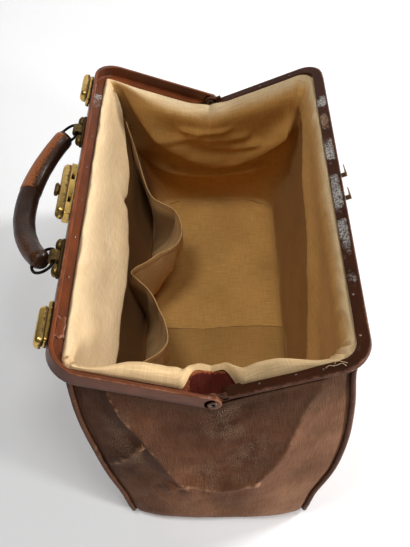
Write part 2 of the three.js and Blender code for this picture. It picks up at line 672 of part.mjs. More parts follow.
// Bent hook on the outer edge of the hook jaw: a flat leg out and a prong up
function lockHook() {
  const { width, low, thick, out, prong, tip } = HOOK;
  const outline = [
    [SEAT, low],
    [out, low],
    [out, prong],
    [out - tip, prong],
    [out - thick, low + thick],
    [SEAT, low + thick],
  ].map(([x, z]) => new THREE.Vector2(x, z));
  const options = { depth: width, bevelEnabled: false };
  const upright = new THREE.Matrix4().makeBasis(vec(1, 0, 0), vec(0, 0, 1), vec(0, -1, 0));
  const bent = new THREE.ExtrudeGeometry(new THREE.Shape(outline), options);
  return bent.translate(0, 0, -width / 2).applyMatrix4(upright);
}

// Assembly: the jaws are built flat, with their own X outward, and turned to their side and tilt
const bag = new THREE.Group();
const lockSide = new THREE.Group();
const hookSide = new THREE.Group();
const swing = new THREE.Group();
lockSide.position.set(0, 0, FRAME.pivotHeight);
lockSide.rotation.set(0, -rad(FRAME.lockTilt), Math.PI, "ZYX");
hookSide.position.set(0, 0, FRAME.pivotHeight);
hookSide.rotation.set(0, -rad(FRAME.hookTilt), 0);
swing.position.set(LOCK_JAW.reach + HANDLE.axisOut, 0, HANDLE.axisUp);
swing.rotation.set(0, rad(HANDLE.drop), 0);
lockSide.add(swing);
bag.add(lockSide, hookSide);

function piece(parent, name, geometry, color, finish) {
  const mesh = new THREE.Mesh(geometry, new THREE.MeshStandardMaterial({ color, ...finish }));
  mesh.name = name;
  parent.add(mesh);
  return mesh;
}

const leather = (parent, name, geometry, color) => piece(parent, name, geometry, color, FINISH.leather);
const cotton = (name, geometry) => piece(bag, name, geometry, COLOURS.cotton, FINISH.cotton);
const metal = (parent, name, geometry, color) => piece(parent, name, geometry, color, FINISH.metal);

leather(lockSide, "lock_jaw", lockJaw(), COLOURS.lockLeather);
leather(hookSide, "hook_jaw", hookJaw(), COLOURS.hookLeather);
leather(bag, "gusset", gusset(), COLOURS.bodyLeather);
leather(bag, "side_panel_left", sidePanel(-1), COLOURS.bodyLeather);
leather(bag, "side_panel_right", sidePanel(1), COLOURS.bodyLeather);
leather(bag, "piping_left", piping(-1), COLOURS.hookLeather);
leather(bag, "piping_right", piping(1), COLOURS.hookLeather);
leather(bag, "hinge_patch", hingePatch(), COLOURS.patchLeather);
cotton("lining", lining());
cotton("pocket", pocket());
leather(swing, "handle", handle(), COLOURS.handleLeather);
metal(lockSide, "lock_plate", lockPlate(), COLOURS.brass).position.set(LOCK_JAW.reach, -LOCK.at, 0);
metal(lockSide, "lock_case", lockCase(), COLOURS.brass).position.set(LOCK_JAW.reach, -LOCK.at, 0);
metal(lockSide, "lock_button", lockButton(), COLOURS.darkBrass).position.set(LOCK_JAW.reach, -LOCK.at, 0);

[
  { end: "near", side: -1 },
  { end: "far", side: 1 },
].forEach(({ end, side }, i) => {
  const eyelet = metal(bag, `hinge_rivet_${end}`, rivet(), COLOURS.darkBrass);
  eyelet.position.set(0, side * LOCK_JAW.half, FRAME.pivotHeight);
  eyelet.rotation.set(side < 0 ? Math.PI : 0, 0, 0);
  metal(swing, `handle_ring_${end}`, ring(RING.wire), COLOURS.iron).position.set(0, -side * BRACKET.at, 0);
  const mount = metal(lockSide, `handle_bracket_${end}`, bracket(), COLOURS.darkBrass);
  mount.position.set(LOCK_JAW.reach, -side * BRACKET.at, 0);
  const plate = metal(lockSide, `catch_plate_${end}`, catchPlate(), COLOURS.brass);
  plate.position.set(LOCK_JAW.reach, -side * CATCH.at, 0);
  const slide = metal(lockSide, `catch_slide_${end}`, catchSlide(-side), COLOURS.brass);
  slide.position.set(LOCK_JAW.reach, -side * CATCH.at, 0);
  const hook = metal(hookSide, `lock_hook_${end}`, lockHook(), COLOURS.darkBrass);
  hook.position.set(HOOK_JAW.reach, HOOK.at[1 - i], 0);
});

export default bag;
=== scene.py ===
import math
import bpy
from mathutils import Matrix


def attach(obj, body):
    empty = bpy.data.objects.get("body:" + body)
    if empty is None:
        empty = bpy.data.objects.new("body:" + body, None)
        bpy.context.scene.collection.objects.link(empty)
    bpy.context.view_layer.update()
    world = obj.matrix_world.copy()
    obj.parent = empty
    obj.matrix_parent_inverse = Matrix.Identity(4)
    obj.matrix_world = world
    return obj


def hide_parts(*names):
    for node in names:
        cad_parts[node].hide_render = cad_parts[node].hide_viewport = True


bl_info = {
    "name": "Open travel bag",
    "version": (1, 0, 0),
    "blender": (4, 5, 0),
    "location": "3D View > Sidebar > Travel bag",
    "description": "Builds an old leather travel bag that stands open on its hinged frame",
    "category": "Add Mesh",
}

import bmesh
import bpy
import numpy as np
from bpy.props import FloatProperty, FloatVectorProperty, PointerProperty
from mathutils import Matrix, Vector, noise

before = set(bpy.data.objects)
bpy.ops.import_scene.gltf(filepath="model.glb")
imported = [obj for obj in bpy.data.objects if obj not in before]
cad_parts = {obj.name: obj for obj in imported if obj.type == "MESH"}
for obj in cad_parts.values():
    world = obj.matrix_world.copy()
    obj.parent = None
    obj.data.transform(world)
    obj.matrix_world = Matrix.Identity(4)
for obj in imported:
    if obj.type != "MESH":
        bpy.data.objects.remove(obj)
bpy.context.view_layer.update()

# Sizes below are in millimetres, and points become metres where a mesh is made
MM = 0.001


def table(columns, *rows):
    """A short table as named columns."""
    return dict(zip(columns.split(), np.array(rows, float).T))


# Frame: the two jaws turn on one axis along Y at this height
PIVOT = 180.0
LOCK_TILT = 19.7
HOOK_TILT = 23.6
LOCK_JAW = {"reach": 135, "half": 200, "corner": 27, "start": 0, "low": -7.5, "high": 7.5, "round": 0.9}
# The lock jaw is an angle: a wall, and a ledge that grows out of the arms over a short run
WALL = 3.5
LEDGE = {"width": 12.5, "top": -4.5, "from": 10, "run": 9}
HOOK_JAW = {
    "reach": 131,
    "half": 196,
    "corner": 24,
    "start": 8,
    "low": -5,
    "high": 0,
    "round": 1.3,
    "width": 11,
}
EYE = {"outer": 7.5, "tab": 6.5, "hole": 3, "tab_thick": 3, "round": 0.5}
# The neck from each eye of the hook jaw to its strip
NECK = {"top": 3.2, "lift": 0.1, "run": (3.4, 13)}
# Eyelet as radius and height, the foot from the inner face and the head from the outer one
EYELET_FOOT = [(1.9, -1.1), (4.0, -1.1), (4.2, -0.8), (4.2, 0), (2.7, 0)]
EYELET_HEAD = [
    *[(2.7, 0.3), (4.4, 0.3), (4.6, 0.5), (4.5, 0.9)],
    *[(4.0, 1.25), (3.2, 1.4), (2.4, 1.2), (1.9, 0.8)],
]
# Gap between the hook jaw's tab and the eyelet's foot
EYELET_GAP = 0.3
# How far the nail heads are let into the leather
NAIL_SUNK = 0.05
NAILS = {
    "ledge": {"at": [(127, y) for y in (86, 39, -7, -53.5, -99.5, -148)], "radius": 1.25, "height": 0.7},
    "bar": {"at": [(123.5, y) for y in (130, 82, 30, -64, -128, -168)], "radius": 1.2, "height": 0.6},
    "arms": {
        "at": [(70, -189.5), (92, -190.5), (40, -190), (60, 190), (95, 190)],
        "radius": 1.1,
        "height": 0.5,
    },
}
# A lap of leather on the ledge, and threads drawn out of the other jaw
LAP = {"r": 123.2, "width": 8, "y": -142, "length": 20, "gap": 0.15, "stands": 0.75, "thick": 0.6}
THREAD_RADIUS = 0.28
THREADS = [
    [(98, -189, 0.2), (103, -190.5, 1.6), (107, -189.5, 1.2), (110, -193, 2.2)],
    [(101, -188, 0.2), (104, -187, 1.8), (108, -188.5, 1.0), (111, -190, 0.5)],
    [(94, -190, 0.2), (97, -189, 1.0), (101, -190.2, 0.4)],
]
# Bare, rubbed and rusty places along the jaws: middle, half length, strength
LOCK_BARE = [(152, 5, 0.594), (140, 9, 0.45)]
HOOK_RUBBED = [(-150, 16, 0.15), (-190, 10, 0.15), (185, 22, 0.36)]
HOOK_RUST = [(94, 17, 0.75), (25, 7, 0.6)]
# Wear of the lock jaw, its painted shade inside the far arm, along its foot, under the lining and at the near
# end, and the spans of Y over which some of it comes or goes
LOCK_WEAR = {"all": 0.1, "edges": 0.14, "crown": 0.45, "specks": 0.8}
LOCK_GRIME = {"inside": 0.85, "foot": 0.6, "tucked": 0.5, "front": 0.5}
LOCK_SPANS = {"inside": (150, 190), "far": (20, 110), "front": (176, 192), "lock": (29, 33)}
# How far the steel of the hook jaw's bar is bare along the bag
BARE_STEEL = table(
    "y share",
    *[(-196, 0.1), (-176, 0.35), (-165, 0.1), (-145, 0.32), (-130, 0.1), (-117, 0.42), (-108, 0.46)],
    (-100, 0.15),
    *[(-90, 0.28), (-80, 0.5), (-70, 0.62), (-46, 0.66), (-40, 0.25), (-35, 0.42), (-30, 0.66), (0, 0.62)],
    *[(12, 0.6), (18, 0.25), (30, 0.2), (36, 0.6), (60, 0.64), (66, 0.28), (78, 0.3), (84, 0.55)],
    *[(104, 0.52), (111, 0.2), (117, 0.25), (121, 0.98), (131, 0.98), (135, 0.2), (170, 0.12), (196, 0.1)],
)

# Leather body: up is the share of the wall's height
BODY = table(
    "up left right end end_bulge left_bulge right_bulge",
    (0.0, 74, 87, 207, 8, 0, 0),
    (0.015, 76, 89, 213, 8, 1, 0),
    (0.06, 77, 90, 216.5, 8, 2, 0),
    (0.21, 85, 97, 215, 8, 5, 0),
    (0.4, 99, 107, 211, 7.5, 6, 0),
    (0.62, 106, 112, 205.5, 6, 8, 1),
    (0.81, 110, 111, 199, 4.5, 11, 5),
    (1.0, 112, 107.5, 191.5, 4.5, 12, 8),
)
# How far the leather ends below each jaw's line, less on the hook side away from the hinge
BODY_DROP = {"lock": 8.4, "hook": 8.8, "less": 3.0, "less_over": (0, 40)}
SEAM = 1.7
# How far a long side may dent towards the lining, and where its lower edge lies
PANEL = {"dent": -1.2, "lowest": 0.022}
PIPING_LOWEST = 2.8
# Rows of the leather lie closer near the floor
FOOT_CROWDING = {"panels": 1.15, "piping": 1.2}

# How far the edges of the leather are turned in to the seams
EDGE_TURNED_IN = {"end": 1.3, "side": 1.2}
# Unevenness of the leather: depth, size and seed
UNEVEN_END = [(1.1, 38, 1), (0.5, 15, 2), (0.22, 6, 3)]
UNEVEN_SIDE = [(1.6, 60, 4), (0.7, 22, 5), (0.25, 7, 6)]
SIDE_DUST = 0.25
# The seams are drawn in at the near end
DRAWN_IN = {"left": {"by": 6, "up": 0.42, "half": 0.26}, "right": {"by": 3, "up": 0.2, "half": 0.14}}


def crease(height, width, *line, crest=1.0):
    """A crease along a broken line: above 0 it stands out, and crest is how much its edge is rubbed and lit
    by a painted highlight.
    """
    return {"height": height, "width": width, "line": line, "crest": crest}


# Creases of a panel: points are across -1 to 1 and up 0 floor to 1 rim
NEAR_CREASES = [
    crease(7.5, 0.17, (0.84, 1.0), (0.655, 0.848), (0.545, 0.665), (0.45, 0.56), (0.33, 0.45), crest=1.4),
    crease(
        7.4, 0.15, (-0.76, 1.0), (-0.645, 0.835), (-0.545, 0.748), (-0.425, 0.537), (-0.3, 0.4), crest=1.5
    ),
    crease(7.6, 0.075, (-0.93, 0.5), (-0.715, 0.608), (-0.56, 0.71), crest=1.8),
    crease(6.6, 0.08, (-0.46, 0.385), (-0.26, 0.43), (0.01, 0.41), (0.33, 0.43), crest=1.6),
    crease(-2.2, 0.035, (-0.46, 0.35), (-0.3, 0.375)),
    crease(-1.8, 0.06, (0.35, 0.45), (0.72, 0.36)),
    crease(-2.4, 0.05, (-0.98, 0.17), (-0.74, 0.235)),
]
FAR_CREASES = [
    crease(4.0, 0.14, (0.76, 1.0), (0.5, 0.7), (0.1, 0.38)),
    crease(4.2, 0.14, (-0.8, 1.0), (-0.5, 0.72), (-0.1, 0.4)),
    crease(3.0, 0.07, (-0.5, 0.3), (0.0, 0.4), (0.45, 0.33)),
]
SIDE_CREASES = [
    crease(3.4, 0.12, (-0.86, 1.0), (-0.62, 0.62), (-0.3, 0.36)),
    crease(3.0, 0.12, (0.9, 0.98), (0.6, 0.58), (0.34, 0.38)),
    crease(2.4, 0.08, (-0.4, 0.3), (0.05, 0.37), (0.5, 0.29)),
]
# Shape of every crease and its sharp crest, and the lines along it, lighter as rubbed leather and as a
# painted highlight: strength, half width
CREST = {"blunt": 0.18, "fall": 1.7, "height": 1.1, "half": 0.024, "size": 0.16}
RUB_LINES = [(0.3, 0.022), (0.28, 0.06)]
# Soft spots on the near end: strength, across, up, half width, half height. The first spots are painted
# light, low down and on the right, the dusty ones are dust and the last ones painted shade
SUNNED = [(0.55, 0.75, 0.2, 0.5, 0.3), (0.42, 0.85, 0.65, 0.28, 0.3), (0.32, 0, 0.14, 0.9, 0.16)]
DUSTY = [(1.0, 0.12, 0.88, 0.17, 0.14), (0.8, 0.24, 0.64, 0.2, 0.16)]
DUSTY += [(0.5, -0.05, 0.52, 0.4, 0.12), (0.6, -0.7, 0.66, 0.2, 0.2)]
LEAST_DUST = 0.15
GRIMY = [(0.85, -0.1, 0.88, 0.52, 0.28), (0.45, -0.8, 0.14, 0.3, 0.1), (0.6, 0, 0.66, 0.4, 0.18)]
# Painted shade under the rim, where the frame's shadow falls, and over the left part above the floor, which
# faces away from the light
RIM_GRIME = {"by": 0.95, "up": (0.72, 0.95)}
LEFT_GRIME = {"by": 0.95, "across": (-0.85, -0.1), "up": (0.15, 0.5)}
SCUFFED = [(1.2, 0.33, 0.435, 0.03, 0.024)]
# Rubbing of the creases at each end, with the painted highlight on their crests, and of the edge at the floor
RUBBED = {"near": 0.665, "far": 0.56, "foot": 0.35, "foot_up": 0.035}

# Lining: one row from the rim to the floor, lift raises the roll along the arms
LINING = table(
    "row up left right end corner lift left_lift right_lift bulge",
    (0, 1.0, 120.5, 115, 192, 15, -4, -3, -2, 0),
    (1, 1.0, 117.8, 112.4, 188, 15, 1, -2, -1, 0),
    (2, 1.0, 116.4, 110.8, 187, 16, 6.5, 1, 1, 0),
    (3, 1.0, 114.8, 108.6, 183, 17, 11.5, 4.5, 3, 0),
    (4, 0.99, 112.5, 106, 176.5, 17, 13.5, 6, 4, 0),
    (5, 0.97, 110, 103.5, 170.5, 16, 11, 5, 3, 0),
    (6, 0.93, 107, 102, 168, 15, 3, 1, 2, 1),
    (7, 0.82, 103, 103, 172.5, 15, 0, 0, 0, 3),
    (8, 0.68, 99, 103.5, 179, 15, 0, 0, 0, 5),
    (9, 0.58, 98, 103.5, 186, 16, 0, 0, 0, 6),
    (10, 0.51, 97, 102.5, 191, 17, 0, 0, 0, 7),
    (11, 0.36, 90, 98.5, 199, 20, 0, 0, 0, 8),
    (12, 0.18, 79, 90.5, 207, 20, 0, 0, 0, 8),
    (13, 0.05, 73, 85.5, 209, 20, 0, 0, 0, 8),
    (14, 0.02, 68, 80.5, 203, 19, 0, 0, 0, 8),
)
# Rows of the table below the roll
LOWER_ROWS = slice(7, None)
# Finer rows from one row of the table to another: from, to, count
LINING_STEPS = [(0, 6, 36), (6, 9, 25), (9, 14, 42)]
# The row on which the way round the lining is measured
GAUGE_ROW = slice(40, 41)
LINING_DROP = (6.4, 5.0)
LINING_FOOT = {"rows": (12.6, 14.0), "z": 5.2}
# The arch that is cut in the lining at the near hinge
ARCH = {"flat": 10, "half": 25, "depth": 12, "flatten": 0.6, "up": (0.82, 0.95), "cut": 3.4, "span": 92}
# The far roll lies lower than the near one, but stands up at the hinge
FAR_LIFT = {"left": 0.3, "right": 0.45, "over": (-10, 40)}
FAR_PIVOT = {"up": 5.0, "half": 16.0, "rows": (4, 7)}
# The left corners of the lining are sharper, and the rolls are thin beside them
CORNERS = {"near": 0.6, "far": 0.7, "rows": (9, 11)}
THIN = {"end": 188.5, "rows": ((1, 3), (8, 10)), "left_x": -112, "right_x": 92}
THIN_NEAR = {"left": 0.7, "left_span": (-114, -58), "right": 0.5, "right_span": (45, 92)}
THIN_FAR = {"by": 0.85, "span": (-112, -72)}
KNOT = {"x": -111, "y": -184, "half": 8.0, "swirl": 1.1, "up": 2.5, "in": 1.6, "lean": 1.4}
# Gathers of the roll: size, how far they lean along the rows, seed
GATHERS = {"fine": (9, 2.2, 11), "broad": (26, 2.0, 12), "hinge": (15, 1.4, 15)}
FULLNESS = {"all": 0.3, "right": 0.6, "corner": 1.2, "near_hinge": 1.8, "broad": 0.9, "far_hinge": 0.9}
ROLL = {"row": 4.5, "half": 2.6, "from": (1, 3), "depth": 1.9}
# How wide the hinges draw the cloth, and where it is drawn most beside the near one
DRAWN_BY_HINGE = {"half": 34, "beside": 24, "beside_half": 14}
# Pleats in the right corners: end, depth, row, half height, how close they lie and how they lean
CORNER_PLEATS = [(1, 2.6, 6.5, 2.8, 0.62, 0.25), (-1, 3.4, 4.6, 2.2, 0.75, 1.1)]
# Rows of the hanging wall and of the folds in its far end, and its unevenness
HANGING = {"wall": ((5, 8), (13, 14)), "far_folds": ((4.5, 6.5), (13.2, 14))}
UNEVEN_WALL = [(1.7, 46, 13), (0.8, 19, 14)]

# The left panel of the lining leans in to a sharp fold, which climbs to the rim at the far end
LEFT_FOLD = table(
    "y height x",
    (-190, 126, -91),
    (-126, 128, -87.5),
    (-27, 128, -85.5),
    (2, 128, -85.5),
    (60, 128, -89.5),
    (91, 130, -92.5),
    (112, 131, -93.4),
    (131, 137, -93.4),
    (146, 147, -95.2),
    (158, 158, -96.5),
    (168, 172, -98.3),
    (175, 184, -100.1),
    (181, 194, -103.2),
    (186, 203, -107),
)
# The row that lies on the fold, the rows that bound the panel, and how the cloth tucks in behind it
FOLD = {"row": 9, "low_row": 13, "high_row": 5, "rows": (4.5, 7), "top_x": -113, "hollow": 2.5}
TUCK = {"depth": 10.0, "over": 4.0, "back": (12, 50)}
NOTCH = {"y": 82, "half": 7.0, "depth": 4.2, "sharp": 7}
DRAPE = {"depth": 1.2, "half": 15.0, "slant": 1.2, "fades_at": 260}
LEFT_RIM_X = -115.0
# The right wall bends along a line that drops towards the near end
RIGHT_BEND = table(
    "y height",
    *[(-150, 64), (-100, 82), (-78, 98), (-33, 130), (20, 154)],
    *[(86, 170), (121, 187), (165, 199), (190, 205)],
)
BEND = {"depth": 7.0, "above": 26.0, "below": 8.0, "to_rows": (11, 13)}

# Folds hanging in the far wall: across, bottom, curve, reach, half width above and below, depth
FAR_FOLDS = [
    (12, 87, 0.0098, 130, 24, 4.5, 13),
    (2, 62, 0.003, 80, 13, 5, 11),
    (12, 138, 0.004, 40, 8, 4, 3.6),
    (-6, 152, 0.006, 36, 6, 3.5, 3.2),
    (26, 122, 0.007, 40, 8, 4, 2.6),
    (-40, 140, 0.01, 36, 9, 4, 3.0),
]
# Darkening of the lining, some of it painted shade: strength, then the rows, heights or lengths over which it
# comes or goes
FOOT_SOIL = {"by": 0.14, "rows": (10, 13.5)}
# Painted shade on the wall hidden under the left fold
HIDDEN_SOIL = {"by": 0.85, "under": (0.5, 6), "to_rows": (12, 13.5)}
HINGE_SOIL = {"by": 0.35, "row": 2.0, "half": 1.6}
NEAR_LEFT_SOIL = {"by": 0.1, "y": (-150, -30)}
# Painted shade below the right bend and in the far left corner
BELOW_BEND_SOIL = {"by": 0.55, "under": (0, 12)}
FAR_CORNER_SOIL = {"by": 0.72, "turn": (0.25, 0.7), "x": (-104, -30), "rows": ((3.4, 5), (11, 13))}
# The roll is pale, as faded cloth and as painted light, down to a row, which is higher at the far end and on
# the right; below it the golden tan is painted shade
FADED = {"row": 5.5, "far": 1.6, "right": 1.9, "run": 2.0}
FADED_PARTS = {"right_less": 0.12, "right_wall": 0.12, "near_less": 0.25}

# Floor of the lining: two cloths as start and end along the bag, height and seed
FLOOR_CLOTHS = {"far": (-14.0, 232.0, 5.4, 21), "near": (1.0, -232.0, 6.3, 22)}
FLOOR_CLOTH = {"left": -71.0, "right": 83.5, "row": 13.4, "bulge": 15.0, "thick": 0.8}
FLOOR_CORNER = {"long": 22, "in": 20}
FLOOR_LAP = {"wave": 1.5, "drop": 0.9, "drop_over": 0.012}
# Dark line along the lap of the floor cloths, and painted shadow of the near wall on the near cloth
FLOOR_DIRT = {"line": 0.75, "line_over": 0.006, "near": 0.24}

# Pocket: how far the mouth stands off the wall along the bag, and how high it is
POCKET = {"bottom": 20, "sag": 14, "fullest": 55, "gap": 2.2, "thick": 0.9, "belly": 5.0, "faded": 0.4}
SEWN_HALF = 5.0
POUCH = table(
    "y stand mouth",
    *[(-172, 3, 107), (-140, 7, 107), (-122, 15, 107), (-108, 27, 108), (-98, 38, 108), (-88, 45, 108)],
    *[(-74, 47.5, 108), (-60, 44.4, 107), (-42, 37.5, 107), (-18, 25, 108), (-10, 16, 109), (-2, 9, 110)],
    *[(6, 13, 110), (18, 23, 108), (33, 34, 107), (46, 48, 107), (57, 55, 107), (74, 57, 107), (88, 55, 107)],
    *[(99, 51, 107), (107, 45, 107), (112, 34, 107), (118, 25, 106), (128, 19, 108), (145, 14, 116)],
    *[(157, 10, 128), (163, 6, 146), (172, 3, 170)],
)
# Pleats of the pouches: depth, how they run down, size, seed
PLEATS = [(4.2, 14.0, 11.0, 31), (2.52, 9.0, 5.5, 32)]
HEM = {"stands": 0.5, "to": (0.075, 0.085), "stitch": 0.07, "stitch_half": 0.006}
HEM_DIRT = {"by": 0.4, "at": 0.078, "half": 0.007}
# Flap at the near hinge: half width, place, and how it rises from its foot
FLAP = {
    "half": 30,
    "x": -2,
    "y": -192,
    "z": 170,
    "long": 25,
    "short": 8,
    "rise": 6.8,
    "spread": 0.32,
    "torn": 1.6,
    "thick": 1.4,
}
UNEVEN_FLAP = [(0.8, 6.0, 42), (0.35, 2.5, 43)]

# Handle in its own plane: X out from the ring axis, Y along the bag
HANDLE = {"axis_r": 142, "axis_n": -1, "drop": 28.3, "half": 77, "near": 19, "apex": 47.5, "tip": 9}
GRIP = table("along radius", (0, 7.4), (0.025, 8.8), (0.08, 9.0), (0.13, 9.2), (0.3, 9.8), (0.5, 10.4))
# Along the grip from its far end: the polished sleeve, the cross binding and the seam underneath
SLEEVE = {"span": ((0.012, 0.018), (0.4, 0.406)), "thick": 0.55}
SLEEVE_EDGES = [(0.403, 1.0), (0.015, 0.4)]
SLEEVE_EDGE = 0.006
BINDING = {"span": ((0.45, 0.7), (0.93, 0.95)), "height": 0.16, "close": 430.0}
GRIP_SEAM = {"depth": 0.5, "half": 0.09}
RING = {"wire": 1.35, "half": 12.5, "reach": 24, "at": 84.5}
# Half of a ring's line as shares of its reach and half width
RING_LINE = [(0, 0), (0, 0.45), (0.13, 0.84), (0.46, 1), (0.82, 0.72), (1, 0)]
# Sizes of a rounded plate in the order in which it is built
PILL_SIZES = ("length", "low", "high", "corner")
BRACKET = {"length": 42, "low": -7.5, "high": 5.5, "corner": 6.4}
LOBE = {"at": 14.5, "out": 3.9, "half": (3.6, 6.0, 5.2)}
BRACKET_NECK = {"length": 11, "low": -5.4, "high": 3.4, "corner": 1.2}
KNUCKLE = {"out": 7, "up": -1, "bore": 2.1, "radius": 4.6, "half": 5.5, "round": 0.6}
LOCK = {
    "at": -3,
    "case_length": 64,
    "low": -9,
    "high": 4.5,
    "plate": 5.8,
    "case": 6.8,
    "corner": 5.0,
    "wider": 0.6,
}
KNOB = {"length": 14, "half": 4.6, "corner": 4.5}
# Floor of a slot in the lock plate: area in m2, and the dark film painted in it as its shade
SLOT_FLOOR = {"largest": 40e-6, "facing_up": 0.7, "dirt": 1.6}
CATCH = {"at": 153, "length": 39, "low": -8, "high": 5, "plate": 3.8, "corner": 2.2}
SLIDE = {"length": 36, "offset": 4, "wider": 0.5, "corner": 4.4}
# Gap under a case or a slide
LIFTED = 0.6
# Rounded plates in steps: how far out, and how far in from the outline
CASE_STEPS = [(0, 0.5), (0.3, 0.1), (0.8, 0), (3.2, 0), (4.7, 0.6), (5.9, 1.7), (6.5, 2.8), (6.8, 4.2)]
SLIDE_STEPS = [(0, 0.5), (0.3, 0.1), (0.8, 0), (2.9, 0), (4.4, 0.6), (5.5, 1.6), (6.1, 2.6), (6.4, 3.8)]
PLATE_STEPS = [(0.3, 0.3), (0.6, 0), (2.9, 0), (3.5, 0.3), (4.1, 1.0)]
KNOB_STEPS = [(0.08, 1.6), (0.5, 1.4), (1.1, 0.4), (1.8, 0), (2.9, 0), (3.7, 0.5), (4.2, 1.6), (4.4, 2.8)]
BRACKET_STEPS = [(0.3, 0.5), (0.3, 0.1), (0.8, 0), (1.8, 0), (2.3, 0.3), (2.7, 1.0)]
NECK_STEPS = [(1.5, 0.4), (2.2, 0), (4.2, 0), (5.4, 0.3)]
# Bevels of the pieces that are softened solids, in metres
SOFT_EDGE = {"plate": 0.0006, "hook": 0.0004}

# Stage: lamps as place and aim in metres, size and power
LAMPS = {
    "key": ((2.1, 0.6, 1.25), (0, 0, 0.12), 0.5, 45),
    "top left": ((-0.45, -0.35, 2.05), (0, 0, 0.1), 0.5, 12),
    "top right": ((0.3, -0.6, 2.05), (0, 0, 0.1), 0.5, 8.5),
    "front": ((1.85, -1.05, 0.5), (0, -0.15, 0.1), 0.4, 34),
}
# The floor's line along the bag, and its curve up into the backdrop
FLOOR_LINE = [(-2600, 0), (-1000, 0), (600, 0), (1500, 0)]
FLOOR_CURVE = {"radius": 900, "top": 2600, "half": 3200}
# The floor glows a little as painted light, less on the near left as the bag's painted shadow, over this span
# of X + Y in metres
GLOW = {"strength": 0.28, "least": 0.4, "span": (-0.38, 0.15)}
WORLD_LIGHT = {"on_bag": 0.04, "seen": 1.0}
# Camera: place in metres, angles in degrees, focal length and picture height in pixels
CAMERA = {
    "at": (-0.0022, -0.4765, 0.6722),
    "yaw": -0.55,
    "pitch": 50.04,
    "roll": -0.64,
    "focal": 700,
    "high": 547,
}
SENSOR = 36

# Colours that only marks show
DUST_COLOUR = (0.52, 0.37, 0.24)
RUST_COLOUR = (0.3, 0.16, 0.06)
STEEL_FILM = (0.05, 0.026, 0.016)

ENDS = {"near": -1, "far": 1}
SIDES = {"left": -1, "right": 1}


# Settings


def length(name, description, default):
    """A setting in metres."""
    return FloatProperty(name=name, description=description, default=default, unit="LENGTH")


def factor(name, description):
    """A setting that scales what is built."""
    return FloatProperty(name=name, description=description, default=1.0, subtype="FACTOR")


class BagSizes(bpy.types.PropertyGroup):
    """Thicknesses and fullness that can be changed before the bag is built"""

    leather: length("Leather", "Thickness of the body leather", 0.002)
    piping: length("Piping", "Radius of the welt in the seams", 0.0022)
    crease: factor("Creases", "Strength of the creases in the ends")
    rumple: factor("Rumple", "Strength of the small unevenness in leather and cloth")
    gather: factor("Gathers", "Strength of the gathers along the rim of the lining")
    wear: factor("Wear", "How far edges and creases are worn")


def colour(name, description, default):
    """A colour setting."""
    kind = {"subtype": "COLOR", "min": 0, "max": 1}
    return FloatVectorProperty(name=name, description=description, default=default, **kind)


class BagColours(bpy.types.PropertyGroup):
    """Base colours of the finishes"""

    body: colour("Body leather", "Brown of the leather body", (0.16, 0.058, 0.025))
    body_worn: colour("Worn body leather", "Brown where creases are rubbed", (0.37, 0.195, 0.105))
    lock_jaw: colour("Lock jaw leather", "Red-brown of the jaw with the lock", (0.19, 0.048, 0.013))
    hook_jaw: colour("Hook jaw leather", "Dark brown of the jaw with the hooks", (0.066, 0.021, 0.009))
    patch: colour("Hinge patch", "Dark red of the leather at the hinge", (0.095, 0.013, 0.007))
    handle: colour("Handle leather", "Dark brown of the handle", (0.05, 0.02, 0.009))
    handle_worn: colour("Polished handle leather", "Red-brown of the polished handle", (0.4, 0.125, 0.04))
    # The lining is the pale tan where light falls and the golden tan where it is in shade: the golden tan is
    # painted shade
    cotton: colour("Lining", "Tan of the cotton lining", (0.8, 0.6, 0.36))
    golden: colour("Golden lining", "Deeper tan of the lining inside the bag", (0.76, 0.43, 0.13))
    brass: colour("Brass", "Clean brass of lock and catches", (0.8, 0.52, 0.15))
    tarnish: colour("Tarnish", "Dark film in the corners of the brass", (0.085, 0.045, 0.014))
    steel: colour("Bare steel", "Steel of the frame where the leather is gone", (0.68, 0.64, 0.59))
    iron: colour("Iron", "Black iron of the rings", (0.02, 0.017, 0.015))
    floor: colour("Floor", "Pale floor and backdrop", (0.84, 0.84, 0.84))


# Reading and placing


def read(columns, key, name, at):
    """Smooth reading of one column of a table, level at both ends."""
    k, v = columns[key], columns[name]
    at = np.clip(np.asarray(at, float), k[0], k[-1])
    step = np.diff(v) / np.diff(k)
    slope = np.concatenate([[0], (step[1:] + step[:-1]) / 2, [0]])
    i = np.clip(np.searchsorted(k, at, side="right") - 1, 0, len(k) - 2)
    h = k[i + 1] - k[i]
    t = (at - k[i]) / h
    start = (2 * t**3 - 3 * t**2 + 1) * v[i] + (t**3 - 2 * t**2 + t) * h * slope[i]
    return start + (3 * t**2 - 2 * t**3) * v[i + 1] + (t**3 - t**2) * h * slope[i + 1]


def ease(x, low, high):
    t = np.clip((np.asarray(x, float) - low) / (high - low), 0, 1)
    return t * t * (3 - 2 * t)


def between(x, rise, fall):
    """A share that comes over one span and goes over another."""
    return ease(x, *rise) * (1 - ease(x, *fall))


def bell(x, half, power=2):
    """1 at 0, and falling off to both sides."""
    return np.exp(-((np.asarray(x, float) / half) ** power))


def blobs(rows, across, up):
    """The strongest of some soft spots: rows are strength, across, up, half width and half height."""
    strongest = np.zeros(np.shape(across))
    for strength, a, u, wide, high in rows:
        spot = strength * np.exp(-(((across - a) / wide) ** 2 + ((up - u) / high) ** 2))
        strongest = np.maximum(strongest, spot)
    return strongest


def spots(*axes):
    return np.stack(np.broadcast_arrays(*[np.asarray(a, float) for a in axes]), axis=-1)


def rumple(points, size, seed=0):
    """Soft noise from -1 to 1 over points, with lumps of about this size."""
    flat = (np.asarray(points, float).reshape(-1, 3) / size + seed * 7.31).tolist()
    return np.array([noise.noise(p) for p in flat]).reshape(points.shape[:-1])


def uneven(points, rows):
    """Several soft noises over points: rows are depth, size and seed."""
    return sum(depth * rumple(points, size, seed) for depth, size, seed in rows)


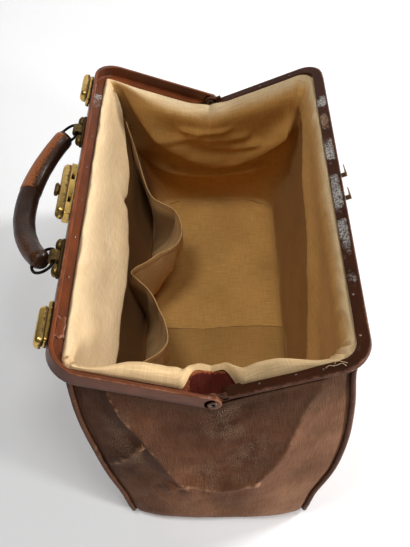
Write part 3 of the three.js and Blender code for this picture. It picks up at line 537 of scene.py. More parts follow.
def jaw_point(tilt, side, r, y, n):
    """A point on a jaw: r out from the hinge axis, y along the bag, n square to the jaw."""
    c, s = math.cos(math.radians(tilt)), math.sin(math.radians(tilt))
    r, y, n = np.broadcast_arrays(*[np.asarray(a, float) for a in (r, y, n)])
    return np.stack([side * (r * c - n * s), y, PIVOT + r * s + n * c], axis=-1)


def lock_point(r, y, n):
    return jaw_point(LOCK_TILT, -1, r, y, n)


def hook_point(r, y, n):
    return jaw_point(HOOK_TILT, 1, r, y, n)


def handle_point(x, y, n):
    """A point in the handle's plane: x out from the ring axis, n square to the plane."""
    base = lock_point(HANDLE["axis_r"], 0.0, HANDLE["axis_n"])
    c, s = math.cos(math.radians(HANDLE["drop"])), math.sin(math.radians(HANDLE["drop"]))
    x, y, n = np.broadcast_arrays(*[np.asarray(a, float) for a in (x, y, n)])
    return base + np.stack([-x * c - n * s, y, -x * s + n * c], axis=-1)


def rim_height(x, lock_drop, hook_drop):
    """Underside of the frame above a point at x, less a drop on each jaw's side."""
    tilt = np.radians(np.where(x < 0, LOCK_TILT, HOOK_TILT))
    return PIVOT + np.abs(x) * np.tan(tilt) - np.where(x < 0, lock_drop, hook_drop) / np.cos(tilt)


def leather_rim(x):
    """Upper edge of the leather above a point at x."""
    hook_drop = BODY_DROP["hook"] - BODY_DROP["less"] * ease(x, *BODY_DROP["less_over"])
    return rim_height(x, BODY_DROP["lock"], hook_drop)


def line_distance(line, a, u):
    """Distance from points to a broken line."""
    best = np.full(np.shape(a), 1e9)
    for (a0, u0), (a1, u1) in zip(line, line[1:]):
        da, du = a1 - a0, u1 - u0
        t = np.clip(((a - a0) * da + (u - u0) * du) / (da * da + du * du), 0, 1)
        best = np.minimum(best, np.hypot(a - a0 - t * da, u - u0 - t * du))
    return best


# Mesh making


def natural(points, axis):
    """Distances along one axis of a grid, averaged over the other, in metres."""
    step = np.linalg.norm(np.diff(points, axis=axis), axis=-1).mean(axis=1 - axis)
    return np.concatenate([[0], np.cumsum(step)]) * MM


class Shape:
    """Points and faces of one piece, gathered from grids."""

    def __init__(self):
        self.points, self.faces, self.flat, self.marks, self.count = [], [], [], {}, 0

    def grid(self, points, round_cols=False, round_rows=False, caps=False, flip=False, **marks):
        """Adds a grid of points, rows by columns, with its flat pattern and its marks."""
        rows, cols = points.shape[:2]
        ids = self.count + np.arange(rows * cols).reshape(rows, cols)
        wide = points
        if round_cols:
            ids, wide = np.concatenate([ids, ids[:, :1]], 1), np.concatenate([wide, wide[:, :1]], 1)
        if round_rows:
            ids, wide = np.concatenate([ids, ids[:1]], 0), np.concatenate([wide, wide[:1]], 0)
        flat = spots(natural(wide, 1)[None, :], natural(wide, 0)[:, None])
        order = [(0, 0), (0, 1), (1, 1), (1, 0)]
        if flip:
            order = order[::-1]
        h, w = ids.shape
        take = [(slice(i, h - 1 + i), slice(j, w - 1 + j)) for i, j in order]
        self.faces += np.stack([ids[t] for t in take], -1).reshape(-1, 4).tolist()
        self.flat.append(np.stack([flat[t] for t in take], 2).reshape(-1, 2))
        if caps:
            for row, back in ((0, not flip), (-1, flip)):
                ring = np.arange(cols)[::-1] if back else np.arange(cols)
                self.faces.append(ids[row][ring].tolist())
                self.flat.append(flat[row][ring])
        self.points.append(points.reshape(-1, 3))
        size = rows * cols
        for name, values in marks.items():
            held = self.marks.setdefault(name, [np.zeros(self.count)] if self.count else [])
            held.append(np.broadcast_to(np.asarray(values, float), (rows, cols)).reshape(-1))
        for name, held in self.marks.items():
            if name not in marks:
                held.append(np.zeros(size))
        self.count += size

    def piece(self, name, closed=True):
        """The gathered shape as an object."""
        mesh = bpy.data.meshes.new(name)
        mesh.from_pydata((np.concatenate(self.points) * MM).tolist(), [], self.faces)
        layer = mesh.uv_layers.new(name="flat")
        layer.data.foreach_set("uv", np.concatenate(self.flat).reshape(-1).astype(np.float32))
        for mark, held in self.marks.items():
            data = mesh.attributes.new(mark, "FLOAT", "POINT").data
            data.foreach_set("value", np.concatenate(held).astype(np.float32))
        if closed:
            made = bmesh.new()
            made.from_mesh(mesh)
            bmesh.ops.recalc_face_normals(made, faces=made.faces)
            made.to_mesh(mesh)
            made.free()
        mesh.polygons.foreach_set("use_smooth", [True] * len(mesh.polygons))
        made = bpy.data.objects.new(name, mesh)
        bpy.context.scene.collection.objects.link(made)
        return made


def place(piece, body, slot, finish, *nodes):
    """Gives a piece its body and its finish, and hides the nodes it stands for; slot is not used."""
    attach(piece, body)
    piece.data.materials.clear()
    piece.data.materials.append(finishes()[finish])
    if nodes:
        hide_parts(*nodes)


def thicken(piece, thick):
    """Gives a sheet its thickness, inwards from its face."""
    solid = piece.modifiers.new("thickness", "SOLIDIFY")
    solid.thickness = thick
    solid.offset = -1.0
    return piece


def section(corners, radius, steps=3, spacing=1.2):
    """A closed outline with rounded corners, and how near each of its points is to a corner."""
    corners = np.array(corners, float)
    points, edge = [], []
    count = len(corners)
    for i in range(count):
        here, before, after = corners[i], corners[i - 1], corners[(i + 1) % count]
        back, on = before - here, after - here
        start = here + back / np.linalg.norm(back) * radius
        end = here + on / np.linalg.norm(on) * radius
        for t in np.linspace(0, 1, steps + 1):
            points.append((1 - t) ** 2 * start + 2 * t * (1 - t) * here + t * t * end)
            edge.append(1.0)
        target = after - on / np.linalg.norm(on) * radius
        span = np.linalg.norm(target - end)
        for k in range(1, max(1, int(span / spacing))):
            t = k / max(1, int(span / spacing))
            points.append(end + (target - end) * t)
            edge.append(math.exp(-min(t, 1 - t) * span / 0.9))
    return np.array(points), np.array(edge)


def jaw_path(jaw, arm=14, turn=10, bar=120):
    """Outer line of a jaw in its own plane, and its outward direction at each point."""
    reach, half, corner = jaw["reach"], jaw["half"], jaw["corner"]
    arms = np.linspace(jaw["start"], reach - corner, arm)[:-1]
    bars = np.linspace(corner - half, half - corner, bar)[1:-1]
    far = np.linspace(0, math.pi / 2, turn)
    near = far - math.pi / 2
    near_r, far_r = [reach - corner + corner * np.cos(angle) for angle in (near, far)]
    near_y, far_y = corner - half + corner * np.sin(near), half - corner + corner * np.sin(far)
    zero = np.zeros_like
    r = np.concatenate([arms, near_r, zero(bars) + reach, far_r, arms[::-1]])
    y = np.concatenate([zero(arms) - half, near_y, bars, far_y, zero(arms) + half])
    out_r = np.concatenate([zero(arms), np.cos(near), zero(bars) + 1, np.cos(far), zero(arms)])
    out_y = np.concatenate([zero(arms) - 1, np.sin(near), zero(bars), np.sin(far), zero(arms) + 1])
    return r, y, out_r, out_y


def lathe(profile, sides):
    """Rings of points about an axis: profile rows are (radius, height); gives x, y across and h along."""
    profile = np.array(profile, float)
    turn = np.linspace(0, 2 * math.pi, sides, endpoint=False)
    return profile[:, :1] * np.cos(turn), profile[:, :1] * np.sin(turn), profile[:, 1:] + 0 * turn


def rod(centre, across, up, radii, sides):
    """Rings about a line of points with two square directions at each."""
    turn = np.linspace(0, 2 * math.pi, sides, endpoint=False)
    radii = np.broadcast_to(np.asarray(radii, float), (len(centre),))[:, None, None]
    spoke = across[:, None, :] * np.cos(turn)[None, :, None] + up[:, None, :] * np.sin(turn)[None, :, None]
    return centre[:, None, :] + radii * spoke


def along_line(points, closed=False):
    """Unit directions along a line and two directions square to it."""
    if closed:
        tangent = np.roll(points, -1, 0) - np.roll(points, 1, 0)
    else:
        tangent = np.gradient(points, axis=0)
    tangent /= np.linalg.norm(tangent, axis=1, keepdims=True)
    guide = np.where(np.abs(tangent[:, 2:]) < 0.9, [[0.0, 0.0, 1.0]], [[1.0, 0.0, 0.0]])
    across = np.cross(guide, tangent)
    across /= np.linalg.norm(across, axis=1, keepdims=True)
    return across, np.cross(tangent, across)


def curve_through(knots, count, closed=False):
    """Smooth line through knots."""
    knots = np.array(knots, float)
    n = len(knots)
    total = n if closed else n - 1
    at = np.linspace(0, total, count, endpoint=not closed)
    i = np.minimum(at.astype(int), total - 1)
    t = (at - i)[:, None]
    pick = (lambda k: knots[k % n]) if closed else (lambda k: knots[np.clip(k, 0, n - 1)])
    p0, p1, p2, p3 = pick(i - 1), pick(i), pick(i + 1), pick(i + 2)
    square, cube = 2 * p0 - 5 * p1 + 4 * p2 - p3, 3 * p1 - p0 - 3 * p2 + p3
    return 0.5 * (2 * p1 + (p2 - p0) * t + square * t**2 + cube * t**3)


def pill(length, low, high, corner, profile, place_at):
    """A rounded plate in steps: rows are out and inset, place_at turns out, along and up into a point."""
    turn = np.linspace(0, math.pi / 2, 7)
    rows = []
    for out, inset in profile:
        half, bottom, top = length / 2 - inset, low + inset, high - inset
        radius = min(max(corner - inset * 0.6, 0.4), (top - bottom) / 2 - 0.01, half - 0.01)
        along, up = [], []
        centres = [(half - radius, bottom + radius), (half - radius, top - radius)]
        centres += [(radius - half, top - radius), (radius - half, bottom + radius)]
        for k, (cy, cz) in enumerate(centres):
            angle = turn - math.pi / 2 + k * math.pi / 2
            along.append(cy + radius * np.cos(angle))
            up.append(cz + radius * np.sin(angle))
        rows.append(place_at(out, np.concatenate(along), np.concatenate(up)))
    return np.stack(rows)


# Shaders


class Graph:
    """Nodes of one material or node group, added by short calls."""

    def __init__(self, tree):
        self.tree = tree

    def add(self, kind, inputs=None, **settings):
        made = self.tree.nodes.new("ShaderNode" + kind)
        for name, value in settings.items():
            setattr(made, name, value)
        for name, value in (inputs or {}).items():
            self.feed(made.inputs[name], value)
        return made

    def feed(self, socket, value):
        if isinstance(value, bpy.types.NodeSocket):
            self.tree.links.new(value, socket)
        elif socket.type == "RGBA" and len(value) == 3:
            socket.default_value = (*value, 1.0)
        else:
            socket.default_value = value

    def sum(self, operation, a, b=0.0, clamp=False):
        return self.add("Math", {0: a, 1: b}, operation=operation, use_clamp=clamp).outputs[0]

    def span(self, value, low, high, to_low=0.0, to_high=1.0):
        inputs = {"Value": value, "From Min": low, "From Max": high, "To Min": to_low, "To Max": to_high}
        return self.add("MapRange", inputs, interpolation_type="SMOOTHSTEP").outputs["Result"]

    def mix(self, share, a, b, blend="MIX"):
        made = self.add("Mix", data_type="RGBA", blend_type=blend)
        for index, value in ((0, share), (6, a), (7, b)):
            self.feed(made.inputs[index], value)
        return made.outputs[2]

    def stretch(self, vector, scale):
        return self.add("Mapping", {"Vector": vector, "Scale": scale}).outputs["Vector"]

    def noise(self, vector, scale, detail=3.0, roughness=0.55):
        inputs = {"Vector": vector, "Scale": scale, "Detail": detail, "Roughness": roughness}
        return self.add("TexNoise", inputs).outputs["Fac"]

    def group(self, name, inputs):
        made = self.add("Group", node_tree=bpy.data.node_groups[name])
        for socket, value in inputs.items():
            self.feed(made.inputs[socket], value)
        return made.outputs

    def mark(self, name):
        return self.add("Attribute", attribute_name=name).outputs["Fac"]


def new_group(name, values, outputs):
    """A shader group with a vector and named values going in, and its graph."""
    tree = bpy.data.node_groups.new(name, "ShaderNodeTree")
    tree.interface.new_socket(name="Vector", in_out="INPUT", socket_type="NodeSocketVector")
    for label, default in values.items():
        socket = tree.interface.new_socket(name=label, in_out="INPUT", socket_type="NodeSocketFloat")
        socket.default_value = default
    for label in outputs:
        tree.interface.new_socket(name=label, in_out="OUTPUT", socket_type="NodeSocketFloat")
    graph = Graph(tree)
    start = tree.nodes.new("NodeGroupInput").outputs
    end = tree.nodes.new("NodeGroupOutput").inputs
    return graph, start, end


def make_groups():
    """Leather grain, cotton weave, rubbed places, dust and metal film, each built once."""
    g, given, out = new_group("Leather grain", {"Pores": 900.0, "Lines": 1400.0}, ["Height", "Tone"])
    pores = g.add("TexVoronoi", {"Vector": given["Vector"], "Scale": given["Pores"]}, feature="SMOOTH_F1")
    lined = g.stretch(given["Vector"], (1.0, 0.05, 1.0))
    lines = g.noise(lined, given["Lines"], 2.0)
    broad = g.noise(given["Vector"], 22.0, 5.0, 0.6)
    fine = g.noise(given["Vector"], 160.0, 3.0)
    grain = g.sum("ADD", g.sum("MULTIPLY", pores.outputs["Distance"], 0.6), g.sum("MULTIPLY", lines, 0.9))
    g.feed(out["Height"], g.sum("ADD", grain, g.sum("MULTIPLY", fine, 0.5)))
    tone = g.sum("ADD", g.sum("MULTIPLY", broad, 0.6), g.sum("MULTIPLY", lines, 0.4))
    g.feed(out["Tone"], g.span(tone, 0.3, 0.72))

    g, given, out = new_group("Rubbed places", {"Amount": 0.5, "Scale": 150.0, "Softness": 0.3}, ["Mask"])
    broken = g.noise(given["Vector"], given["Scale"], 5.0, 0.65)
    level = g.sum("ADD", g.sum("MULTIPLY", given["Amount"], 1.25), broken)
    high = g.sum("ADD", given["Softness"], 0.95)
    g.feed(out["Mask"], g.span(level, 0.95, high))

    g, given, out = new_group("Dust", {"Amount": 0.5, "Scale": 900.0}, ["Mask"])
    speck = g.noise(given["Vector"], given["Scale"], 2.0, 0.6)
    cloud = g.noise(given["Vector"], 60.0, 4.0, 0.6)
    level = g.sum("MULTIPLY", g.span(speck, 0.48, 0.66), g.span(cloud, 0.35, 0.65))
    g.feed(out["Mask"], g.sum("MULTIPLY", level, given["Amount"], True))

    g, given, out = new_group("Cotton weave", {"Threads": 1500.0, "Slub": 1.0}, ["Height", "Tone", "Stain"])
    axes = g.add("SeparateXYZ", {"Vector": given["Vector"]}).outputs
    waves = []
    for axis in ("X", "Y"):
        turn = g.sum("MULTIPLY", axes[axis], g.sum("MULTIPLY", given["Threads"], math.pi))
        waves.append(g.sum("ABSOLUTE", g.sum("SINE", turn)))
    weft = g.noise(g.stretch(given["Vector"], (0.05, 1.0, 1.0)), 1100.0, 2.0)
    warp = g.noise(g.stretch(given["Vector"], (1.0, 0.06, 1.0)), 900.0, 2.0)
    slub = g.sum("MULTIPLY", g.sum("ADD", weft, g.sum("MULTIPLY", warp, 0.6)), given["Slub"])
    g.feed(out["Height"], g.sum("ADD", g.sum("MULTIPLY", waves[0], waves[1]), slub))
    g.feed(out["Tone"], g.span(slub, 0.55, 1.05))
    g.feed(out["Stain"], g.span(g.noise(given["Vector"], 14.0, 5.0, 0.62), 0.38, 0.7))

    g, given, out = new_group("Metal film", {"Amount": 0.5, "Scale": 120.0}, ["Film", "Height"])
    cloud = g.noise(given["Vector"], given["Scale"], 5.0, 0.65)
    pits = g.noise(given["Vector"], 1500.0, 2.0)
    scratch = g.noise(g.stretch(given["Vector"], (1.0, 0.04, 1.0)), 2500.0, 2.0)
    level = g.sum("ADD", g.sum("MULTIPLY", cloud, 0.8), g.sum("MULTIPLY", pits, 0.2))
    low = g.sum("SUBTRACT", 0.75, g.sum("MULTIPLY", given["Amount"], 0.5))
    g.feed(out["Film"], g.span(level, low, g.sum("ADD", low, 0.25)))
    g.feed(out["Height"], g.sum("ADD", pits, scratch))


def new_material(name):
    """An empty material with its shader, its graph and the two sets of coordinates."""
    material = bpy.data.materials.new(name)
    material.use_nodes = True
    tree = material.node_tree
    tree.nodes.clear()
    g = Graph(tree)
    shader = g.add("BsdfPrincipled")
    g.feed(g.add("OutputMaterial").inputs["Surface"], shader.outputs["BSDF"])
    coords = g.add("TexCoord").outputs
    return material, g, shader.inputs, coords


def bump(g, shader, height, strength, distance):
    made = g.add("Bump", {"Height": height, "Strength": strength, "Distance": distance})
    g.feed(shader["Normal"], made.outputs["Normal"])


def scaled(colour_value, factor):
    return tuple(min(1.0, c * factor) for c in colour_value)


def leather_material(
    name, base, worn, roughness, dark=0.55, pores=900.0, dust=0.0, bump_by=0.35, bare=None, shine=0.2,
    rub_scale=150.0, coat=0.0,
):
    """Grained leather, darker in its hollows and where marked with grime and painted shade, paler where
    marked with painted light, rubbed or gone to bare steel where the piece is marked.
    """
    material, g, shader, coords = new_material(name)
    grain = g.group("Leather grain", {"Vector": coords["UV"], "Pores": pores})
    rubbing = {"Vector": coords["UV"], "Amount": g.mark("wear"), "Softness": 0.5, "Scale": rub_scale}
    rubbed = g.group("Rubbed places", rubbing)
    tone = g.mix(grain["Tone"], scaled(base, dark), scaled(base, 1.25))
    # Darker where the piece is marked with grime and painted shade
    tone = g.mix(g.sum("MULTIPLY", g.mark("grime"), 0.75), tone, scaled(base, 0.22))
    # Paler where the piece is marked with painted light
    pale = g.sum("MULTIPLY", g.mark("sunned"), g.span(grain["Tone"], 0.0, 1.0, 0.55, 1.0))
    tone = g.mix(g.sum("MAXIMUM", rubbed["Mask"], pale), tone, worn)
    rough = g.span(grain["Tone"], 0.0, 1.0, roughness + 0.1, roughness - 0.06)
    if dust:
        specks = g.group("Dust", {"Vector": coords["UV"], "Amount": g.mark("dust"), "Scale": 1250.0})
        tone = g.mix(g.sum("MULTIPLY", specks["Mask"], dust), tone, DUST_COLOUR)
    if bare:
        flaking = {"Vector": coords["Object"], "Amount": g.mark("bare"), "Scale": 330.0, "Softness": 0.4}
        gone = g.group("Rubbed places", flaking)
        film = g.group("Metal film", {"Vector": coords["Object"], "Amount": 0.74, "Scale": 600.0})
        steel = g.mix(film["Film"], bare, STEEL_FILM)
        steel = g.mix(g.mark("rust"), steel, RUST_COLOUR)
        tone = g.mix(gone["Mask"], tone, steel)
        g.feed(shader["Metallic"], g.sum("MULTIPLY", gone["Mask"], 0.45))
        rough = g.sum("SUBTRACT", rough, g.sum("MULTIPLY", gone["Mask"], 0.12))
    g.feed(shader["Base Color"], tone)
    g.feed(shader["Roughness"], rough)
    shader["Specular IOR Level"].default_value = shine
    shader["Coat Weight"].default_value = coat
    shader["Coat Roughness"].default_value = 0.2
    bump(g, shader, grain["Height"], bump_by, 0.0004)
    return material


def cotton_material(name, base, golden):
    """Plain-weave cotton: golden tan as painted shade, pale where marked faded and lit, darker where marked
    with grime and painted shade.
    """
    material, g, shader, coords = new_material(name)
    weave = g.group("Cotton weave", {"Vector": coords["UV"]})
    tone = g.mix(g.mark("faded"), golden, base)
    tone = g.mix(weave["Tone"], tone, (0.78, 0.76, 0.72), "MULTIPLY")
    tone = g.mix(g.sum("MULTIPLY", weave["Stain"], 0.35), tone, (0.8, 0.72, 0.6), "MULTIPLY")
    # Darker where the piece is marked with grime and painted shade
    tone = g.mix(g.mark("grime"), tone, (base[0] * 0.2, base[1] * 0.135, base[2] * 0.085))
    g.feed(shader["Base Color"], tone)
    g.feed(shader["Roughness"], g.span(weave["Tone"], 0.0, 1.0, 0.95, 0.85))
    shader["Sheen Weight"].default_value = 0.03
    shader["Specular IOR Level"].default_value = 0.08
    bump(g, shader, weave["Height"], 0.22, 0.0003)
    return material


def metal_material(name, base, film_colour, amount, roughness, scale=120.0, metal=1.0):
    """Old metal with a dark film in patches, heavier where it is marked tarnished or with painted shade."""
    material, g, shader, coords = new_material(name)
    level = g.sum("ADD", amount, g.sum("MULTIPLY", g.mark("tarnish"), 0.7))
    film = g.group("Metal film", {"Vector": coords["Object"], "Amount": level, "Scale": scale})
    g.feed(shader["Base Color"], g.mix(film["Film"], base, film_colour))
    g.feed(shader["Roughness"], g.span(film["Film"], 0.0, 1.0, roughness, roughness + 0.25))
    g.feed(shader["Metallic"], g.span(film["Film"], 0.0, 1.0, metal, metal * 0.8))
    bump(g, shader, film["Height"], 0.12, 0.0002)
    return material


def finishes():
    """All materials of the bag by name, made once."""
    if "Body leather" in bpy.data.materials:
        return bpy.data.materials
    make_groups()
    c = bpy.context.scene.bag_colours
    leather_material("Body leather", c.body, c.body_worn, 0.62, dark=0.45, dust=0.9, bump_by=1.0, shine=0.12)
    leather_material("Piping leather", scaled(c.body, 0.6), scaled(c.body_worn, 0.8), 0.5)
    jaw = {"pores": 1500.0, "bare": c.steel}
    leather_material("Lock jaw leather", c.lock_jaw, (0.32, 0.14, 0.075), 0.34, bump_by=0.2, shine=0.3, **jaw)
    worn = (0.24, 0.11, 0.065)
    leather_material("Hook jaw leather", c.hook_jaw, worn, 0.34, bump_by=0.25, shine=0.1, **jaw)
    torn = {"bump_by": 0.9, "rub_scale": 420.0, "shine": 0.08}
    leather_material("Hinge patch leather", c.patch, (0.46, 0.13, 0.045), 0.7, **torn)
    polish = {"rub_scale": 520.0, "coat": 0.2}
    leather_material("Handle leather", c.handle, c.handle_worn, 0.34, pores=560.0, bump_by=1.0, **polish)
    cotton_material("Lining cotton", c.cotton, c.golden)
    metal_material("Brass", c.brass, c.tarnish, 0.5, 0.28, 240.0, 0.9)
    metal_material("Dark brass", scaled(c.brass, 0.35), c.tarnish, 0.75, 0.42)
    metal_material("Rusty brass", (0.17, 0.1, 0.05), (0.07, 0.035, 0.018), 0.6, 0.45, 300.0)
    metal_material("Iron", c.iron, (0.045, 0.03, 0.022), 0.5, 0.45)
    metal_material("Eyelet steel", (0.14, 0.09, 0.07), (0.04, 0.022, 0.016), 0.6, 0.4, 400.0)
    metal_material("Nail steel", (0.3, 0.22, 0.18), (0.12, 0.05, 0.03), 0.7, 0.4, 500.0)
    return bpy.data.materials


# Frame


def swept_jaw(path, outline, point, ledge=False):
    """A section carried along a jaw's line, as a grid of points."""
    r, y, out_r, out_y = path
    o = np.broadcast_to(outline[None, :, 0], (len(r), len(outline)))
    if ledge:
        share = ease(r, LEDGE["from"], LEDGE["from"] + LEDGE["run"])[:, None]
        o = np.where(o < -WALL, (o + WALL) * share - WALL, o)
    return point(r[:, None] + o * out_r[:, None], y[:, None] + o * out_y[:, None], outline[None, :, 1])


def washer(outer, low, high, point):
    """A flat ring about the hinge axis, its section rounded."""
    hole = EYE["hole"]
    ring, edge = section([(hole, low), (outer, low), (outer, high), (hole, high)], EYE["round"])
    turn = np.linspace(0, 2 * math.pi, 40, endpoint=False)[:, None]
    radius = ring[None, :, 0]
    return point(radius * np.cos(turn), ring[None, :, 1] + 0 * turn, radius * np.sin(turn)), edge


def plate_span(side, half, thick):
    """Lower and upper Y of an upright plate at one end of the bag."""
    return sorted([side * (half - thick), side * half])


def patches(y, rows):
    """Marks along the bag: rows are (middle, half length, strength)."""
    mark = np.zeros_like(y)
    for middle, half, strength in rows:
        mark = np.maximum(mark, strength * (1 - ease(np.abs(y - middle), half * 0.7, half * 1.15)))
    return mark


def build_lock_jaw():
    s = bpy.context.scene.bag_sizes
    low, high, top, width = LOCK_JAW["low"], LOCK_JAW["high"], LEDGE["top"], LEDGE["width"]
    corners = [(0, low), (0, high), (-WALL, high), (-WALL, top), (-width, top), (-width, low)]
    outline, edge = section(corners, LOCK_JAW["round"])
    path = jaw_path(LOCK_JAW)
    points = swept_jaw(path, outline, lock_point, ledge=True)
    y = np.broadcast_to(path[1][:, None], points.shape[:2])
    o, n = outline[None, :, 0], outline[None, :, 1]
    by = LOCK_WEAR
    crown = bell(n - high, 0.8) * bell(o, 1.2) * (0.6 + 0.6 * rumple(points, 26.0, 6))
    specks = np.clip(rumple(points, 4.0, 9) - 0.35, 0, 1)
    wear = (by["all"] + by["edges"] * edge[None, :] + by["crown"] * crown + by["specks"] * specks) * s.wear
    on_ledge = (o < -WALL + 0.5) & (path[0][:, None] > 100)
    bare = np.where(on_ledge, patches(y, LOCK_BARE), 0) * s.wear
    # Painted shade inside the far arm, along the foot, where the ledge tucks under the lining, at the near
    # end and behind the lock; the blotches are the leather's own tone
    by = LOCK_GRIME
    inside = bell(o + WALL, 0.8) * ease(n, top, top + 2) * ease(y, *LOCK_SPANS["inside"])
    foot = bell(o, 1.5) * (1 - ease(n, low + 1.0, low + 5.0))
    tucked = bell(o + width, 1.2)
    blotch = np.clip(0.2 + 1.3 * rumple(points, 17.0, 8), 0, 1) * (0.25 + 0.45 * ease(y, *LOCK_SPANS["far"]))
    front = ease(-y, *LOCK_SPANS["front"])
    covered = bell(o, 0.5) * (1 - ease(np.abs(y - LOCK["at"]), *LOCK_SPANS["lock"])) * (n < high - 0.5)
    grime = by["inside"] * inside + by["foot"] * foot + by["tucked"] * tucked + by["front"] * front
    grime = np.clip(grime + blotch + covered, 0, 1)
    shape = Shape()
    shape.grid(points, round_cols=True, caps=True, wear=wear, bare=bare, grime=grime)
    for side in ENDS.values():
        ring, ring_edge = washer(EYE["outer"], *plate_span(side, LOCK_JAW["half"], WALL), lock_point)
        shape.grid(ring, round_cols=True, round_rows=True, wear=0.2 + 0.4 * ring_edge[None, :])
    jaw = shape.piece("lock_jaw_leather")
    place(jaw, "bag", "lock_frame_leather", "Lock jaw leather", "lock_jaw")


def build_hook_jaw():
    s = bpy.context.scene.bag_sizes
    low, high, width = HOOK_JAW["low"], HOOK_JAW["high"], HOOK_JAW["width"]
    outline, edge = section([(0, low), (0, high), (-width, high), (-width, low)], HOOK_JAW["round"])
    path = jaw_path(HOOK_JAW)
    points = swept_jaw(path, outline, hook_point)
    y = np.broadcast_to(path[1][:, None], points.shape[:2])
    o, n = outline[None, :, 0], outline[None, :, 1]
    middle = bell(o + 6.2, 5.0, 6) * (n > high - 0.6)
    bar = ease(path[0], 112, 124)[:, None]
    share = read(BARE_STEEL, "y", "share", y + 6 * rumple(points, 5.0, 4))
    bare = share * (0.95 + 0.3 * rumple(points, 7.0, 3)) * middle * bar * s.wear
    rim = bell(o, 1.6) * (n > low + 1)
    wear = (0.1 + 0.2 * edge[None, :] + (0.05 + patches(y, HOOK_RUBBED)) * rim) * s.wear
    shape = Shape()
    shape.grid(points, round_cols=True, caps=True, wear=wear, bare=bare, rust=patches(y, HOOK_RUST))
    for side in ENDS.values():
        inner, outer = plate_span(side, HOOK_JAW["half"], EYE["tab_thick"])
        ring, ring_edge = washer(EYE["tab"], inner, outer, hook_point)
        shape.grid(ring, round_cols=True, round_rows=True, wear=0.2 + 0.3 * ring_edge[None, :])
        foot, top = low + NECK["lift"], NECK["top"]
        neck, neck_edge = section([(foot, inner), (top, inner), (top, outer), (foot, outer)], EYE["round"])
        grid = hook_point(np.linspace(*NECK["run"], 6)[:, None], neck[None, :, 1], neck[None, :, 0])
        shape.grid(grid, round_cols=True, caps=True, wear=0.2 + 0.3 * neck_edge[None, :])
    jaw = shape.piece("hook_jaw_leather")
    place(jaw, "bag", "hook_frame_leather", "Hook jaw leather", "hook_jaw")


def build_rivets():
    inside = HOOK_JAW["half"] - EYE["tab_thick"] - LOCK_JAW["half"] - EYELET_GAP
    profile = [(radius, inside + height) for radius, height in EYELET_FOOT] + EYELET_HEAD
    x, z, h = lathe(profile, 36)
    for name, side in ENDS.items():
        shape = Shape()
        shape.grid(spots(x, side * (LOCK_JAW["half"] + h), PIVOT + z), round_cols=True, round_rows=True)
        node = "hinge_rivet_" + name
        place(shape.piece(node + "_round"), "bag", "dark_brass", "Eyelet steel", node)


def dome(point, r, y, n, radius, height, sides=16):
    """A nail head standing on a jaw."""
    angle = np.linspace(0, math.pi / 2 * 0.96, 6)
    x, z, h = lathe(np.stack([radius * np.cos(angle), height * np.sin(angle)], 1), sides)
    return point(r + x, y + z, n + h)


def build_nails():
    shape = Shape()
    for where, nails in NAILS.items():
        point, level = (lock_point, LEDGE["top"]) if where == "ledge" else (hook_point, HOOK_JAW["high"])
        for r, y in nails["at"]:
            head = dome(point, r, y, level - NAIL_SUNK, nails["radius"], nails["height"])
            shape.grid(head, round_cols=True, caps=True)
    place(shape.piece("frame_nails"), "bag", "iron", "Nail steel")


def build_frame_lap():
    """A lap of leather on the ledge beside the near catch."""
    s, t = np.meshgrid(np.linspace(0, 1, 24), np.linspace(0, 1, 24))
    y = LAP["y"] - LAP["length"] * t + 0.8 * np.sin(9 * s)
    r = LAP["r"] + LAP["width"] * s + 0.4 * np.sin(11 * t)
    edge = np.minimum(np.minimum(s, 1 - s), np.minimum(t, 1 - t))
    n = LEDGE["top"] + LAP["gap"] + LAP["stands"] * ease(edge, 0, 0.12) + 0.1 * np.sin(17 * t)
    shape = Shape()
    shape.grid(lock_point(r, y, n), wear=0.25 + 0.4 * (1 - ease(edge, 0.02, 0.2)), flip=True)
    lap = thicken(shape.piece("frame_lap", closed=False), LAP["thick"] * MM)
    place(lap, "bag", "lock_frame_leather", "Lock jaw leather")


def build_threads():
    """Threads drawn out of the lining over the other jaw."""
    shape = Shape()
    for knots in THREADS:
        line = hook_point(*curve_through(knots, 30).T)
        across, up = along_line(line)
        shape.grid(rod(line, across, up, THREAD_RADIUS, 6), round_cols=True, caps=True, faded=1.0)
    place(shape.piece("frayed_threads"), "bag", "lining_cotton", "Lining cotton")


# Leather body


def creased(creases, across, up):
    """Height of the creases at points of a panel, and how much they are rubbed, with the painted highlight on
    their crests.
    """
    ridges, hollows, crests, rubbed = [np.zeros_like(across) for _ in range(4)]
    for fold in creases:
        off = line_distance(fold["line"], across, up)
        blunt = CREST["blunt"] * fold["width"]
        soft = np.sqrt(off**2 + blunt**2) - blunt
        height = fold["height"] * np.exp(-soft / fold["width"] * CREST["fall"])
        ridges = np.maximum(ridges, height)
        hollows = np.minimum(hollows, height)
        if fold["height"] > 0:
            crest = fold["crest"] * (0.75 + 0.4 * rumple(spots(across, up, 0 * up), CREST["size"], 5))
            crests = np.maximum(crests, CREST["height"] * crest * bell(off, CREST["half"]))
            line = sum(strength * bell(off, half) for strength, half in RUB_LINES)
            rubbed = np.maximum(rubbed, crest * line)
    return ridges + hollows + crests, rubbed


def body_side(name, up, along):
    """Reach of a long side at a height, drawn in towards the near end, along -1 near to 1 far."""
    draw = DRAWN_IN[name]
    pinch = draw["by"] * bell(up - draw["up"], draw["half"]) * ease(-np.asarray(along), 0.45, 1.0)
    return read(BODY, "up", name, up) - pinch


